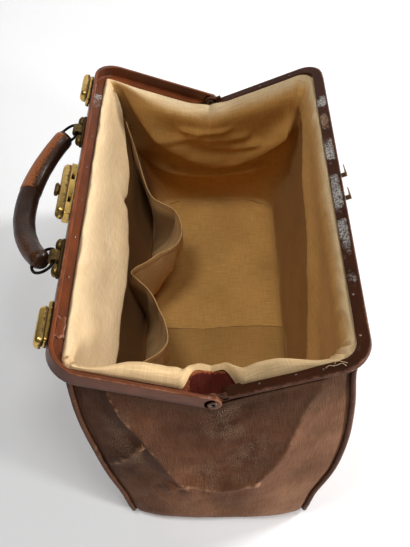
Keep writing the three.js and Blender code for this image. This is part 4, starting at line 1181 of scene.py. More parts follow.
def end_surface(side, across, up):
    """Outside of an end, side -1 near and 1 far, with its creases; also how much it is rubbed, with the
    painted highlight on the crests.
    """
    s = bpy.context.scene.bag_sizes
    left = SEAM - body_side("left", up, side)
    right = body_side("right", up, side) - SEAM
    x = left + (right - left) * (across + 1) / 2
    full = 1 - np.abs(across) ** 4
    height, rubbed = creased(NEAR_CREASES if side < 0 else FAR_CREASES, across, up)
    edge = 1 - ease(np.abs(across), 0.93, 1.0)
    top = 1 - ease(up, 0.93, 1.0)
    y = read(BODY, "up", "end", up) + read(BODY, "up", "end_bulge", up) * full
    y = y + height * full * (0.25 + 0.75 * top) * s.crease
    lumps = uneven(spots(x, side * y, up * 180.0), UNEVEN_END) * edge * (0.3 + 0.7 * top) * ease(up, 0.0, 0.1)
    y = side * (y + lumps * s.rumple - EDGE_TURNED_IN["end"] * (1 - edge))
    return spots(x, y, up * leather_rim(x)), rubbed


def build_gusset():
    """The ends and the bottom: one strip of leather from rim to rim."""
    s = bpy.context.scene.bag_sizes
    wide = np.linspace(-1, 1, 161)
    near_up, far_up = [np.linspace(0, 1, count) ** FOOT_CROWDING["panels"] for count in (116, 60)]
    near_end, near_rub = end_surface(ENDS["near"], *np.meshgrid(wide, near_up[::-1]))
    far_end, far_rub = end_surface(ENDS["far"], *np.meshgrid(wide, far_up))
    share = np.linspace(0, 1, 26)[1:-1, None, None]
    floor = near_end[-1] * (1 - share) + far_end[0] * share
    points = np.concatenate([near_end, floor, far_end])
    across = np.broadcast_to(wide, points.shape[:2])
    up = np.concatenate([near_up[::-1], np.zeros(len(floor)), far_up])[:, None] + 0 * wide
    near = (points[..., 1] < 0) * 1.0
    wear = np.concatenate([near_rub * RUBBED["near"], 0 * floor[..., 0], far_rub * RUBBED["far"]])
    wear = np.maximum(wear, RUBBED["foot"] * bell(up, RUBBED["foot_up"])) * s.wear
    wear = np.maximum(wear, blobs(SCUFFED, across, up) * near)
    dust = np.maximum(blobs(DUSTY, across, up), LEAST_DUST) * near
    # Painted shade on the near end: in spots, under the rim and over the left part
    left = 1 - ease(across, *LEFT_GRIME["across"])
    grime = np.maximum(blobs(GRIMY, across, up), RIM_GRIME["by"] * ease(up, *RIM_GRIME["up"]))
    grime = np.maximum(grime, LEFT_GRIME["by"] * left * ease(up, *LEFT_GRIME["up"]))
    # Painted light low down and on the right of the near end
    sunned = blobs(SUNNED, across, up) * near * s.wear
    shape = Shape()
    shape.grid(points, flip=True, wear=wear, dust=dust, grime=grime * near, sunned=sunned)
    strip = thicken(shape.piece("gusset_leather", closed=False), s.leather)
    place(strip, "bag", "body_leather", "Body leather", "gusset")


def build_side_panels():
    s = bpy.context.scene.bag_sizes
    rise = PANEL["lowest"] + (1 - PANEL["lowest"]) * np.linspace(0, 1, 72) ** FOOT_CROWDING["panels"]
    along, up = np.meshgrid(np.linspace(-1, 1, 131), rise)
    full = 1 - np.abs(along) ** 6
    edge = (1 - ease(np.abs(along), 0.965, 1.0)) * between(up, (0.02, 0.12), (0.93, 1.0))
    sag = 2.0 * np.sin(along * 5.2 + 0.7 + up * 2.0) * bell(up - 0.45, 0.25)
    y = along * (read(BODY, "up", "end", up) - SEAM)
    for name, side in SIDES.items():
        reach = body_side(name, up, along) + read(BODY, "up", name + "_bulge", up) * full
        spot = spots(side * reach, y, up * 200.0)
        height, rubbed = creased(SIDE_CREASES, along * side, up)
        hang = uneven(spot, UNEVEN_SIDE) + sag + height * s.crease
        hang = np.maximum(hang, PANEL["dent"]) * edge * s.rumple
        x = side * (reach + hang - EDGE_TURNED_IN["side"] * ease(np.abs(along), 0.975, 1.0))
        wear = 0.4 * bell(up, 0.06) + 0.2 * np.clip(rumple(spot, 30.0, 8), 0, 1) + 0.5 * rubbed
        shape = Shape()
        shape.grid(spots(x, y, up * leather_rim(x)), flip=side < 0, wear=wear * s.wear, dust=SIDE_DUST)
        node = "side_panel_" + name
        panel = thicken(shape.piece(node + "_leather", closed=False), s.leather)
        place(panel, "bag", "body_leather", "Body leather", node)


def build_piping():
    """The welts: a rolled strip of leather in the seam of each long side."""
    s = bpy.context.scene.bag_sizes
    rise = np.linspace(0, 1, 60) ** FOOT_CROWDING["piping"]
    end = read(BODY, "up", "end", rise)
    run = np.linspace(-1, 1, 40)[1:-1, None]
    for name, side in SIDES.items():
        near, far = [side * body_side(name, rise, along) for along in (-1, 1)]
        near_z, far_z = [np.maximum(PIPING_LOWEST, rise * leather_rim(x)) for x in (near, far)]
        floor = np.hstack([side * body_side(name, 0, run), run * end[0], 0 * run + far_z[0]])
        line = np.concatenate([spots(near, -end, near_z)[::-1], floor, spots(far, end, far_z)])
        across, up = along_line(line)
        lumps = rumple(line, 9.0, 9)
        shape = Shape()
        grid = rod(line, across, up, s.piping / MM * (1 + 0.05 * lumps), 14)
        shape.grid(grid, round_cols=True, caps=True, wear=(0.3 + 0.25 * lumps)[:, None] * s.wear)
        node = "piping_" + name
        place(shape.piece(node + "_welt"), "bag", "piping_leather", "Piping leather", node)


# Lining


def lining_loop():
    """Weights that turn a row of the lining into a rounded rectangle, from the near left corner."""
    parts = []

    def straight(count, left, right, x_round, y_from, y_to, y_round):
        t = np.linspace(0, 1, count)
        one = np.ones(count)
        sides = [low + (high - low) * t for low, high in (left, right)]
        parts.append([*sides, x_round * one, y_from + (y_to - y_from) * t, y_round * one])

    def turn(left, right, y, start):
        angle = start + np.linspace(0, math.pi / 2, 16)[1:-1]
        one = np.ones(len(angle))
        parts.append([left * one, right * one, np.cos(angle), y * one, np.sin(angle)])

    straight(100, (1, 0), (0, 1), 0, -1, -1, -1)
    turn(0, 1, -1, -math.pi / 2)
    straight(112, (0, 0), (1, 1), 1, -1, 1, 0)
    turn(0, 1, 1, 0)
    straight(124, (0, 1), (1, 0), 0, 1, 1, 1)
    turn(1, 0, 1, math.pi / 2)
    straight(112, (1, 1), (0, 0), -1, 1, -1, 0)
    turn(1, 0, -1, math.pi)
    return np.concatenate([np.array(p) for p in parts], axis=1)


def far_folds(x, z):
    """How far the far wall stands in from its plane: soft above each fold's line, tight below it."""
    total = np.zeros_like(x)
    for across, bottom, curve, reach, above, below, depth in FAR_FOLDS:
        off = z - bottom - curve * (x - across) ** 2
        share = 1 - ease(np.abs(x - across), reach * 0.6, reach)
        total += depth * bell(off, np.where(off > 0, above, below)) * share
    return total


def arch_share(x):
    """1 in the arch that is cut in the lining at the near hinge, 0 outside it."""
    return 1 - ease(np.abs(x), ARCH["flat"], ARCH["half"])


LEFT_RIM = float(rim_height(np.array(LEFT_RIM_X), *LINING_DROP))


def to_fold(y, z):
    """Heights on the left wall, moved so that one row of the lining lies on the fold."""
    height = read(LEFT_FOLD, "y", "height", y)
    rows = [FOLD["low_row"], FOLD["row"], FOLD["high_row"]]
    low, middle, high = read(LINING, "row", "up", rows) * LEFT_RIM
    above = height + (z - middle) * (high - height) / (high - middle)
    below = low + (z - low) * (height - low) / (middle - low)
    inside = np.where(z > middle, above, below)
    return np.where((z > low) & (z < high), inside, z)


def left_panel(y, z, wall):
    """The left wall of the lining: a flat panel that leans in to its fold, and the wall behind it."""
    height = read(LEFT_FOLD, "y", "height", y)
    fold = read(LEFT_FOLD, "y", "x", y)
    share = np.clip((z - height) / (LEFT_RIM - height), 0, 1)
    notch = NOTCH["depth"] * bell(y - NOTCH["y"], NOTCH["half"]) * (1 - share) ** NOTCH["sharp"]
    waves = np.sin((y + DRAPE["slant"] * z) / DRAPE["half"]) * (1 - np.abs(y) / DRAPE["fades_at"])
    hollow = FOLD["hollow"] + DRAPE["depth"] * waves
    panel = fold + (FOLD["top_x"] - fold) * share - hollow * np.sin(math.pi * share) - notch
    under = np.maximum(height - z, 0)
    back = fold - notch - TUCK["depth"] * (1 - np.exp(-under / TUCK["over"]))
    behind = back + (-wall - back) * ease(under, *TUCK["back"])
    return np.where(z > height - 1e-6, panel, behind)


def thinned(beside, y_w):
    """How thin the near and the far roll are at places along an end."""
    by, ends = THIN_NEAR, np.abs(y_w) ** 6
    near = by["left"] * (1 - ease(beside, *by["left_span"])) + by["right"] * ease(beside, *by["right_span"])
    far = THIN_FAR["by"] * (1 - ease(beside, *THIN_FAR["span"]))
    return near * (y_w < 0) * ends, far * (y_w > 0) * ends


def lining_surface(row):
    """Inner face of the lining for rows of the table: points, rows and the shares that marks need."""
    s = bpy.context.scene.bag_sizes
    left_w, right_w, x_round, y_w, y_round = [w[None, :] for w in lining_loop()]
    last = LINING["row"][-1]
    cut = ARCH["cut"] * arch_share(ARCH["span"] * (right_w - left_w)) * (y_round <= -1)
    row = cut + np.asarray(row, float)[:, None] / last * (last - cut)
    v = {name: read(LINING, "row", name, row) for name in LINING if name != "row"}
    sharp = left_w * np.where(y_w > 0, CORNERS["far"], CORNERS["near"]) * np.abs(y_w) ** 3
    v["corner"] = v["corner"] * (1 - sharp * (1 - ease(row, *CORNERS["rows"])))
    near_thin, far_thin = thinned(right_w * THIN["right_x"] + left_w * THIN["left_x"], y_w)
    flat = (near_thin + far_thin) * between(row, *THIN["rows"])
    v["end"] = v["end"] + np.maximum(THIN["end"] - v["end"], 0) * flat
    x = -left_w * (v["left"] - v["corner"]) + right_w * (v["right"] - v["corner"]) + v["corner"] * x_round
    y = y_w * (v["end"] - v["corner"]) + v["corner"] * y_round
    end = y_round**2 + 0 * row
    near_end, far_end = end * (y_round < 0), end * (y_round > 0)
    gauge = [np.diff(axis[GAUGE_ROW], append=axis[GAUGE_ROW, :1]) for axis in (x, y)]
    around = np.cumsum(np.hypot(*gauge), axis=1) + 0 * row
    middle = (v["right"] - v["left"]) / 2
    across = (x - middle) / (v["right"] + v["left"]) * 2
    arch = arch_share(x) * near_end * ease(v["up"], *ARCH["up"])
    far_lift = FAR_LIFT["left"] + (FAR_LIFT["right"] - FAR_LIFT["left"]) * ease(x, *FAR_LIFT["over"])
    lift = v["lift"] * np.where(y_round > 0, far_lift, 1.0 - near_thin)
    side_lift = np.where(x < 0, v["left_lift"], v["right_lift"])
    z = v["up"] * rim_height(x, *LINING_DROP)
    z = z + (side_lift * (1 - end) + lift * end) * (1 - ARCH["flatten"] * arch)
    z = z + FAR_PIVOT["up"] * bell(x, FAR_PIVOT["half"]) * far_end * (1 - ease(row, *FAR_PIVOT["rows"]))
    left, right = np.clip(-x_round, 0, 1), np.clip(x_round, 0, 1)
    z = z + left * (to_fold(y, z) - z)
    x = x + left * ease(row, *FOLD["rows"]) * (left_panel(y, z, v["left"]) - x)
    hinge = bell(x, DRAWN_BY_HINGE["half"])
    corner = np.abs(x_round * y_round) * 2

    def gathers(size, lean, seed):
        return rumple(spots(around, row * lean, 0 * x), size, seed)

    beside_hinge = bell(np.abs(x) - DRAWN_BY_HINGE["beside"], DRAWN_BY_HINGE["beside_half"]) * near_end
    full = FULLNESS["all"] + FULLNESS["right"] * right + FULLNESS["corner"] * corner
    pucker = gathers(*GATHERS["fine"]) * (full + FULLNESS["near_hinge"] * beside_hinge)
    pucker = pucker + FULLNESS["broad"] * gathers(*GATHERS["broad"])
    pucker = pucker + FULLNESS["far_hinge"] * hinge * far_end * gathers(*GATHERS["hinge"])
    roll = bell(row - ROLL["row"], ROLL["half"]) * ease(row, *ROLL["from"])
    knot = bell(np.hypot(x - KNOT["x"], y - KNOT["y"]), KNOT["half"]) * roll * s.gather
    z = z + KNOT["up"] * knot * (1 + np.sin(around * KNOT["swirl"]))
    pucker = pucker + KNOT["in"] * knot * np.sin(around * KNOT["swirl"] + row * KNOT["lean"])
    inward = pucker * roll * ROLL["depth"] * s.gather
    wall = between(row, *HANGING["wall"])
    inward = inward + wall * s.rumple * uneven(spots(x, y, z), UNEVEN_WALL)
    inward = inward + far_folds(x, z) * far_end * between(row, *HANGING["far_folds"])
    for face, depth, at_row, half, close, lean in CORNER_PLEATS:
        share = corner * (x > 0) * (y_round * face > 0) * bell(row - at_row, half) * s.gather
        inward = inward + depth * share * np.sin(around * close + lean * row)
    off = z - read(RIGHT_BEND, "y", "height", y)
    bend = BEND["depth"] * bell(off, np.where(off > 0, BEND["above"], BEND["below"]))
    inward = inward + bend * right**2 * wall * (1 - ease(row, *BEND["to_rows"]))
    bulge = v["bulge"] * end * (1 - across**2) - ARCH["depth"] * arch
    y = y + np.sign(y) * bulge - y_round * inward
    x = x - x_round * inward
    shares = {"left": left, "right": right, "near": near_end, "far": far_end, "hinge": hinge, "turn": y_round}
    return x, y, z, row, shares


def lining_marks(x, y, z, row, m):
    """Darkening and paleness of the lining: grime and painted shade, fading and painted light; elsewhere it
    keeps the golden tan of painted shade.
    """
    left, right = m["left"], m["right"]
    # Painted shade under the left fold, below the right bend and in the far left corner
    hidden = ease(read(LEFT_FOLD, "y", "height", y) - z, *HIDDEN_SOIL["under"]) * left
    below = ease(read(RIGHT_BEND, "y", "height", y) - z, *BELOW_BEND_SOIL["under"]) * right
    shade = ease(m["turn"], *FAR_CORNER_SOIL["turn"]) * (1 - ease(x, *FAR_CORNER_SOIL["x"]))
    shade = shade * between(row, *FAR_CORNER_SOIL["rows"])
    near_left = left * (1 - ease(y, *NEAR_LEFT_SOIL["y"])) * (1 - hidden)
    grime = FOOT_SOIL["by"] * ease(row, *FOOT_SOIL["rows"])
    grime = np.maximum(grime, HIDDEN_SOIL["by"] * hidden * (1 - ease(row, *HIDDEN_SOIL["to_rows"])))
    drawn = m["hinge"] * m["near"] * bell(row - HINGE_SOIL["row"], HINGE_SOIL["half"])
    grime = grime + HINGE_SOIL["by"] * drawn
    for soil, share in ((NEAR_LEFT_SOIL, near_left), (BELOW_BEND_SOIL, below), (FAR_CORNER_SOIL, shade)):
        grime = np.maximum(grime, soil["by"] * share)
    # Pale cotton on the roll and the right wall, as fading and as painted light
    start = FADED["row"] - FADED["far"] * m["far"] - FADED["right"] * right
    faded = (1 - ease(row - start, 0.0, FADED["run"]) * (1 - left)) * (1 - FADED_PARTS["right_less"] * right)
    faded = np.maximum(faded, FADED_PARTS["right_wall"] * right * (1 - below))
    faded = faded * (1 - FADED_PARTS["near_less"] * m["near"]) * (1 - hidden) * (1 - shade)
    return {"grime": np.clip(grime, 0, 1), "faded": faded}


def build_lining():
    """The walls of the lining, rolled over the arms of the frame and hanging to the floor."""
    rows = np.unique(np.concatenate([np.linspace(*step) for step in LINING_STEPS]))
    x, y, z, row, shares = lining_surface(rows)
    low = ease(row, *LINING_FOOT["rows"])
    z = z * (1 - low) + low * np.maximum(LINING_FOOT["z"], z * (1 - low))
    shape = Shape()
    shape.grid(spots(x, y, z), round_cols=True, **lining_marks(x, y, z, row, shares))
    cloth = shape.piece("lining_cotton_walls", closed=False)
    place(cloth, "bag", "lining_cotton", "Lining cotton", "lining")


def build_lining_floor():
    """The floor of the lining in two cloths that lap at the middle."""
    f, lap = FLOOR_CLOTH, FLOOR_LAP
    middle, half = (f["right"] + f["left"]) / 2, (f["right"] - f["left"]) / 2
    share, run = np.meshgrid(np.linspace(-1, 1, 90), np.linspace(0, 1, 130))
    full = read(LINING, "row", "end", f["row"]) + f["bulge"] * (1 - share**2)
    edge = 1 - ease(np.abs(share), 0.9, 1.0)
    for name, (start, stop, top, seed) in FLOOR_CLOTHS.items():
        y = start + (stop - start) * run + lap["wave"] * np.sin(share * 3.0) * (1 - run)
        y = np.clip(y, -full, full)
        beyond = np.clip((np.abs(y) - full) / FLOOR_CORNER["long"] + 1, 0, 1)
        x = middle + share * (half - FLOOR_CORNER["in"] * (1 - np.sqrt(1 - beyond**2)))
        spot = spots(x, y, 0 * x)
        z = top + uneven(spot, [(0.7, 34.0, seed), (0.25, 11.0, seed + 1)]) * edge
        # Darker all over and along the edges against the walls
        grime = 0.22 + 0.16 * rumple(spot, 50.0, seed + 2) + 0.2 * (1 - edge)
        if name == "near":
            z = z - lap["drop"] * (1 - ease(run, 0.0, lap["drop_over"]))
            # The near cloth gets the painted shadow of the near wall, and a dark line along its lapped edge
            line = (1 - ease(run, 0.0, FLOOR_DIRT["line_over"])) * (0.4 + 0.6 * (share < 0.2))
            grime = grime + FLOOR_DIRT["near"] + FLOOR_DIRT["line"] * line
        shape = Shape()
        shape.grid(spots(x, y, z), flip=name == "near", grime=np.clip(grime, 0, 1))
        cloth = thicken(shape.piece("lining_floor_" + name, closed=False), f["thick"] * MM)
        place(cloth, "bag", "lining_cotton", "Lining cotton", "lining")


def left_wall(z):
    """Inside of the lining on the left wall at a height."""
    rows = {name: LINING[name][LOWER_ROWS][::-1] for name in ("up", "left")}
    return -read(rows, "up", "left", z / LEFT_RIM)


def build_pocket():
    """The pocket: a gathered strip in two pouches, sewn down between them."""
    rows = np.concatenate([np.linspace(0, 0.12, 16), np.linspace(0.12, 1, 44)[1:]])
    share, down = np.meshgrid(np.linspace(0, 1, 240), rows)
    y = POUCH["y"][-1] * (1 - 2 * share)
    stand = read(POUCH, "y", "stand", y)
    mouth = read(POUCH, "y", "mouth", y)
    z = mouth + (POCKET["bottom"] - mouth) * down - POCKET["sag"] * stand / POCKET["fullest"] * (1 - down)
    pleat = sum(depth * rumple(spots(y, down * run, 0 * y), size, seed) for depth, run, size, seed in PLEATS)
    gathered = pleat * np.sin(math.pi * down) ** 0.8 * np.clip(stand / 22, 0.15, 1)
    sewn = bell(y, SEWN_HALF)
    full = stand * (1 - down**1.35) * (1 - 0.75 * sewn * ease(down, 0.0, 0.25))
    belly = POCKET["belly"] * np.sin(math.pi * down) * np.clip(stand / 40, 0, 1)
    hem = HEM["stands"] * (1 - ease(down, *HEM["to"]) - bell(down - HEM["stitch"], HEM["stitch_half"]))
    edge = 0.9 * rumple(spots(y, 0 * y, 0 * y), 16.0, 33) * np.clip(stand / 20, 0, 1)
    edge = edge * (1 - ease(down, 0.0, 0.3))
    off = np.maximum(full + belly + gathered + hem + edge, 0.0)
    x = left_wall(z) + POCKET["gap"] + off + 0.4 * rumple(spots(y, down * 40.0, 0 * y), 14.0, 34)
    slope = np.gradient(stand, axis=1)
    opening = ease(slope / slope.max(), 0.05, 0.4) * ease(down, 0.1, 0.3)
    # Darker lower down, dirt along the hem, and painted shade in the openings of the pouches
    grime = 0.05 * down + HEM_DIRT["by"] * bell(down - HEM_DIRT["at"], HEM_DIRT["half"]) + 0.75 * opening
    shape = Shape()
    # The pocket is paler than the golden tan, as painted light
    shape.grid(spots(x, y, z), flip=True, grime=np.clip(grime, 0, 1), faded=POCKET["faded"])
    cloth = thicken(shape.piece("pocket_cotton", closed=False), POCKET["thick"] * MM)
    place(cloth, "bag", "lining_cotton", "Lining cotton", "pocket")


def build_hinge_patch():
    """The worn flap of dark red leather in the arch of the lining."""
    side, t = np.meshgrid(np.linspace(-1, 1, 80), np.linspace(0, 1, 34))
    x = side * FLAP["half"] + FLAP["x"]
    y = FLAP["y"] + (FLAP["long"] - FLAP["short"] * side**2) * t
    z = FLAP["z"] + FLAP["rise"] * t**0.8 + np.abs(x) * FLAP["spread"] * t
    torn = FLAP["torn"] * rumple(spots(x, 0 * y, 0 * y), 4.0, 41) * t
    z = z + uneven(spots(x, y, z), UNEVEN_FLAP)
    wear = 0.25 * ease(np.abs(side), 0.6, 0.95) + 0.62 * bell(side + 0.72, 0.3) + 0.6 * ease(t, 0.7, 1.0)
    shape = Shape()
    shape.grid(spots(x, y + torn, z), flip=True, wear=np.clip(wear, 0, 1))
    flap = thicken(shape.piece("hinge_patch_leather", closed=False), FLAP["thick"] * MM)
    place(flap, "bag", "patch_leather", "Hinge patch leather", "hinge_patch")


# Handle and fittings


def build_handle():
    rise = HANDLE["apex"] - HANDLE["near"]
    radius = (HANDLE["half"] ** 2 + rise**2) / (2 * rise)
    reach = math.asin(HANDLE["half"] / radius) + HANDLE["tip"] / radius
    t = np.concatenate([np.linspace(0, 0.5, 90), np.linspace(0.5, 1, 90)[1:]])[:, None]
    angle = reach - 2 * reach * t
    x = HANDLE["apex"] - radius + radius * np.cos(angle)
    y = radius * np.sin(angle)
    sleeve = between(t, *SLEEVE["span"])
    bands = BINDING["height"] * np.sin(t * BINDING["close"]) * between(t, *BINDING["span"])
    turn = np.linspace(0, 2 * math.pi, 40, endpoint=False)[None, :]
    body = read(GRIP, "along", "radius", 0.5 - np.abs(t - 0.5)) + SLEEVE["thick"] * sleeve + bands
    skin = spots(y, 30 * np.cos(turn), 30 * np.sin(turn))
    body = body - GRIP_SEAM["depth"] * bell(turn - math.pi, GRIP_SEAM["half"]) + 0.25 * rumple(skin, 12.0, 51)
    out = body * np.cos(turn) * 1.02
    up = body * np.sin(turn) * 0.97
    points = handle_point(x + out * np.cos(angle), y + out * np.sin(angle), up)
    edge = sum(strength * bell(t - at, SLEEVE_EDGE) for at, strength in SLEEVE_EDGES)
    # Lighter on top and on the outer side: polish, and painted highlight where the light falls
    top = np.clip(np.cos(turn - 1.45), 0, 1)
    out_side = np.clip(np.cos(turn - 0.3), 0, 1) ** 1.5
    wear = 0.1 + 0.66 * sleeve * top + 0.34 * ease(t, 0.5, 0.85) * np.maximum(top**1.4, out_side)
    wear = wear + 2.2 * bands * out_side + 0.45 * edge * np.clip(np.sin(turn), 0, 1)
    shape = Shape()
    shape.grid(points, round_cols=True, caps=True, flip=True, wear=np.clip(wear, 0, 1))
    place(shape.piece("handle_grip"), "handle", "handle_leather", "Handle leather", "handle")


def build_rings():
    knots = [(RING["reach"] * x, RING["half"] * y) for x, y in RING_LINE]
    knots += [(x, -y) for x, y in knots[1:-1][::-1]]
    x, y = curve_through(knots, 84, closed=True).T
    for name, side in ENDS.items():
        line = handle_point(x, side * RING["at"] + y, 0 * x)
        across, up = along_line(line, closed=True)
        shape = Shape()
        shape.grid(rod(line, across, up, RING["wire"], 12), round_cols=True, round_rows=True)
        node = "handle_ring_" + name
        place(shape.piece(node + "_wire"), "handle", "iron", "Iron", node)


def fitting(along):
    """Places a fitting on the outer face of the lock jaw: out from it, along the bag, up."""
    return lambda out, y, n: lock_point(LOCK_JAW["reach"] + out, along + y, n)


def ovoid(at, centre, half, sides=28, rings=14):
    """A rounded lump of three half sizes."""
    angle = np.linspace(-math.pi / 2, math.pi / 2, rings)[1:-1]
    x, z, h = lathe(np.stack([np.cos(angle), np.sin(angle)], 1), sides)
    return at(centre[0] + half[0] * h, centre[1] + half[1] * x, centre[2] + half[2] * z)


def raised(start, steps):
    return [(start + out, inset) for out, inset in steps]


def recess(steps):
    """Tarnish along a plate's foot, less towards its face."""
    out = np.array(steps, float)[:, :1]
    return 1 - ease(out, out[0, 0], out[0, 0] + 2.2)


def knuckle(at):
    """The eye of a bracket, in which a ring hangs."""
    bore, radius, half = KNUCKLE["bore"], KNUCKLE["radius"], KNUCKLE["half"]
    outline, _ = section([(bore, -half), (radius, -half), (radius, half), (bore, half)], KNUCKLE["round"])
    turn = np.linspace(0, 2 * math.pi, 28, endpoint=False)[:, None]
    spoke = outline[None, :, 0]
    out, up = KNUCKLE["out"] + spoke * np.cos(turn), KNUCKLE["up"] + spoke * np.sin(turn)
    return at(out, outline[None, :, 1] + 0 * turn, up)


def build_brackets():
    for name, side in ENDS.items():
        at = fitting(side * RING["at"])
        shape = Shape()
        plate = pill(*[BRACKET[size] for size in PILL_SIZES], BRACKET_STEPS, at)
        shape.grid(plate, round_cols=True, caps=True, tarnish=0.6)
        for lobe in (-LOBE["at"], LOBE["at"]):
            lump = ovoid(at, (LOBE["out"], lobe, KNUCKLE["up"]), LOBE["half"])
            shape.grid(lump, round_cols=True, caps=True)
        neck = pill(*[BRACKET_NECK[size] for size in PILL_SIZES], NECK_STEPS, at)
        shape.grid(neck, round_cols=True, caps=True)
        shape.grid(knuckle(at), round_cols=True, round_rows=True)
        node = "handle_bracket_" + name
        place(shape.piece(node + "_cast"), "bag", "dark_brass", "Dark brass", node)


def softened(node, name, width):
    """A copy of a node's solid with its edges rounded."""
    made = bpy.data.objects.new(name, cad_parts[node].data.copy())
    bpy.context.scene.collection.objects.link(made)
    work = bmesh.new()
    work.from_mesh(made.data)
    bmesh.ops.remove_doubles(work, verts=work.verts, dist=1e-6)
    bmesh.ops.dissolve_limit(work, angle_limit=0.02, verts=work.verts, edges=work.edges)
    work.to_mesh(made.data)
    work.free()
    round_off = made.modifiers.new("rounded edges", "BEVEL")
    round_off.width, round_off.segments, round_off.limit_method = width, 3, "ANGLE"
    round_off.angle_limit, round_off.harden_normals = math.radians(35), False
    made.data.polygons.foreach_set("use_smooth", [True] * len(made.data.polygons))
    made.data.set_sharp_from_angle(angle=math.radians(50))
    return made


def dirty_slots(plate):
    """Paints shade into the floors of the slots in the lock plate, as a dark film."""
    dirt = plate.data.attributes.new("tarnish", "FLOAT", "POINT")
    for face in plate.data.polygons:
        if face.area < SLOT_FLOOR["largest"] and face.normal.z > SLOT_FLOOR["facing_up"]:
            for corner in face.vertices:
                dirt.data[corner].value = SLOT_FLOOR["dirt"]


def plated(name, sizes, steps, at):
    """A rounded brass plate as a piece, tarnished along its foot."""
    shape = Shape()
    shape.grid(pill(*sizes, steps, at), round_cols=True, caps=True, tarnish=recess(steps))
    return shape.piece(name)


def build_lock():
    plate = softened("lock_plate", "lock_plate_brass", SOFT_EDGE["plate"])
    dirty_slots(plate)
    place(plate, "bag", "brass", "Brass", "lock_plate")
    at, start = fitting(LOCK["at"]), LOCK["plate"] + LIFTED
    sizes = (LOCK["case_length"], LOCK["low"] - LOCK["wider"], LOCK["high"] + LOCK["wider"], LOCK["corner"])
    case = plated("lock_case_brass", sizes, raised(start, CASE_STEPS), at)
    place(case, "bag", "brass", "Brass", "lock_case")
    middle = (LOCK["low"] + LOCK["high"]) / 2
    sizes = (KNOB["length"], middle - KNOB["half"], middle + KNOB["half"], KNOB["corner"])
    knob = plated("lock_button_knob", sizes, raised(start + LOCK["case"], KNOB_STEPS), at)
    place(knob, "lock_button", "dark_brass", "Dark brass", "lock_button")


def build_catches():
    low, high, wider = CATCH["low"], CATCH["high"], SLIDE["wider"]
    for name, side in ENDS.items():
        node = "catch_plate_" + name
        sizes = (CATCH["length"], low, high, CATCH["corner"])
        plate = plated(node + "_brass", sizes, PLATE_STEPS, fitting(side * CATCH["at"]))
        place(plate, "bag", "brass", "Brass", node)
        node = "catch_slide_" + name
        sizes = (SLIDE["length"], low - wider, high + wider, SLIDE["corner"])
        steps = raised(CATCH["plate"] + LIFTED, SLIDE_STEPS)
        slide = plated(node + "_brass", sizes, steps, fitting(side * (CATCH["at"] + SLIDE["offset"])))
        place(slide, node, "brass", "Brass", node)


def build_hooks():
    for name in ENDS:
        node = "lock_hook_" + name
        hook = softened(node, node + "_bent", SOFT_EDGE["hook"])
        place(hook, "bag", "dark_brass", "Rusty brass", node)


# Stage


def build_floor():
    """Pale floor that runs up into a backdrop, glowing as painted light, less so in the bag's painted shadow
    on the near left.
    """
    start, radius = FLOOR_LINE[-1][0], FLOOR_CURVE["radius"]
    turn = np.linspace(0.1, math.pi / 2, 16)
    line = FLOOR_LINE + [(start + radius * math.sin(a), radius - radius * math.cos(a)) for a in turn]
    line = np.array(line + [(start + radius, FLOOR_CURVE["top"])], float)
    across = np.linspace(-FLOOR_CURVE["half"], FLOOR_CURVE["half"], 9)
    shape = Shape()
    shape.grid(spots(across[None, :], line[:, :1], line[:, 1:]))
    floor = shape.piece("floor", closed=False)
    material, g, shader, coords = new_material("Pale floor")
    base = bpy.context.scene.bag_colours.floor
    g.feed(shader["Base Color"], g.mix(g.noise(coords["Object"], 3.0, 2.0), scaled(base, 0.98), base))
    axes = g.add("SeparateXYZ", {"Vector": coords["Object"]}).outputs
    away = g.span(g.sum("ADD", axes["Y"], axes["X"]), *GLOW["span"])
    g.feed(shader["Emission Color"], g.mix(away, scaled(base, GLOW["least"]), (1, 1, 1)))
    shader["Emission Strength"].default_value = GLOW["strength"]
    shader["Roughness"].default_value = 0.7
    floor.data.materials.append(material)


def build_lights():
    """Soft lamps from above and the right, and a weak pale surround."""
    scene = bpy.context.scene
    scene.world = bpy.data.worlds.new("Studio")
    scene.world.use_nodes = True
    g = Graph(scene.world.node_tree)
    surround = g.tree.nodes["Background"].inputs
    surround["Color"].default_value = (1, 1, 1, 1)
    seen = g.add("LightPath").outputs["Is Camera Ray"]
    g.feed(surround["Strength"], g.span(seen, 0.0, 1.0, WORLD_LIGHT["on_bag"], WORLD_LIGHT["seen"]))
    for name, (at, target, size, power) in LAMPS.items():
        lamp = bpy.data.lights.new(name, "AREA")
        lamp.shape, lamp.size, lamp.energy = "DISK", size, power
        made = bpy.data.objects.new(name, lamp)
        made.location = at
        made.rotation_mode = "QUATERNION"
        made.rotation_quaternion = (Vector(target) - Vector(at)).to_track_quat("-Z", "Y")
        scene.collection.objects.link(made)


def build_camera():
    """The camera at the photo's angle."""
    scene = bpy.context.scene
    camera = bpy.data.cameras.new("Camera")
    camera.sensor_fit = "VERTICAL"
    camera.sensor_width = camera.sensor_height = SENSOR
    camera.lens = SENSOR * CAMERA["focal"] / CAMERA["high"]
    camera.clip_start, camera.clip_end = 0.02, 30
    yaw, pitch, roll = [math.radians(CAMERA[angle]) for angle in ("yaw", "pitch", "roll")]
    ahead = Vector((math.sin(yaw) * math.cos(pitch), math.cos(yaw) * math.cos(pitch), -math.sin(pitch)))
    right = Vector((math.cos(yaw), -math.sin(yaw), 0))
    up = right.cross(ahead)
    turned = right * math.cos(roll) + up * math.sin(roll)
    upright = up * math.cos(roll) - right * math.sin(roll)
    axes = Matrix((turned, upright, -ahead)).transposed()
    made = bpy.data.objects.new("Camera", camera)
    made.matrix_world = Matrix.Translation(CAMERA["at"]) @ axes.to_4x4()
    scene.collection.objects.link(made)
    scene.camera = made
    scene.view_settings.view_transform = "Standard"


# Operators and panel


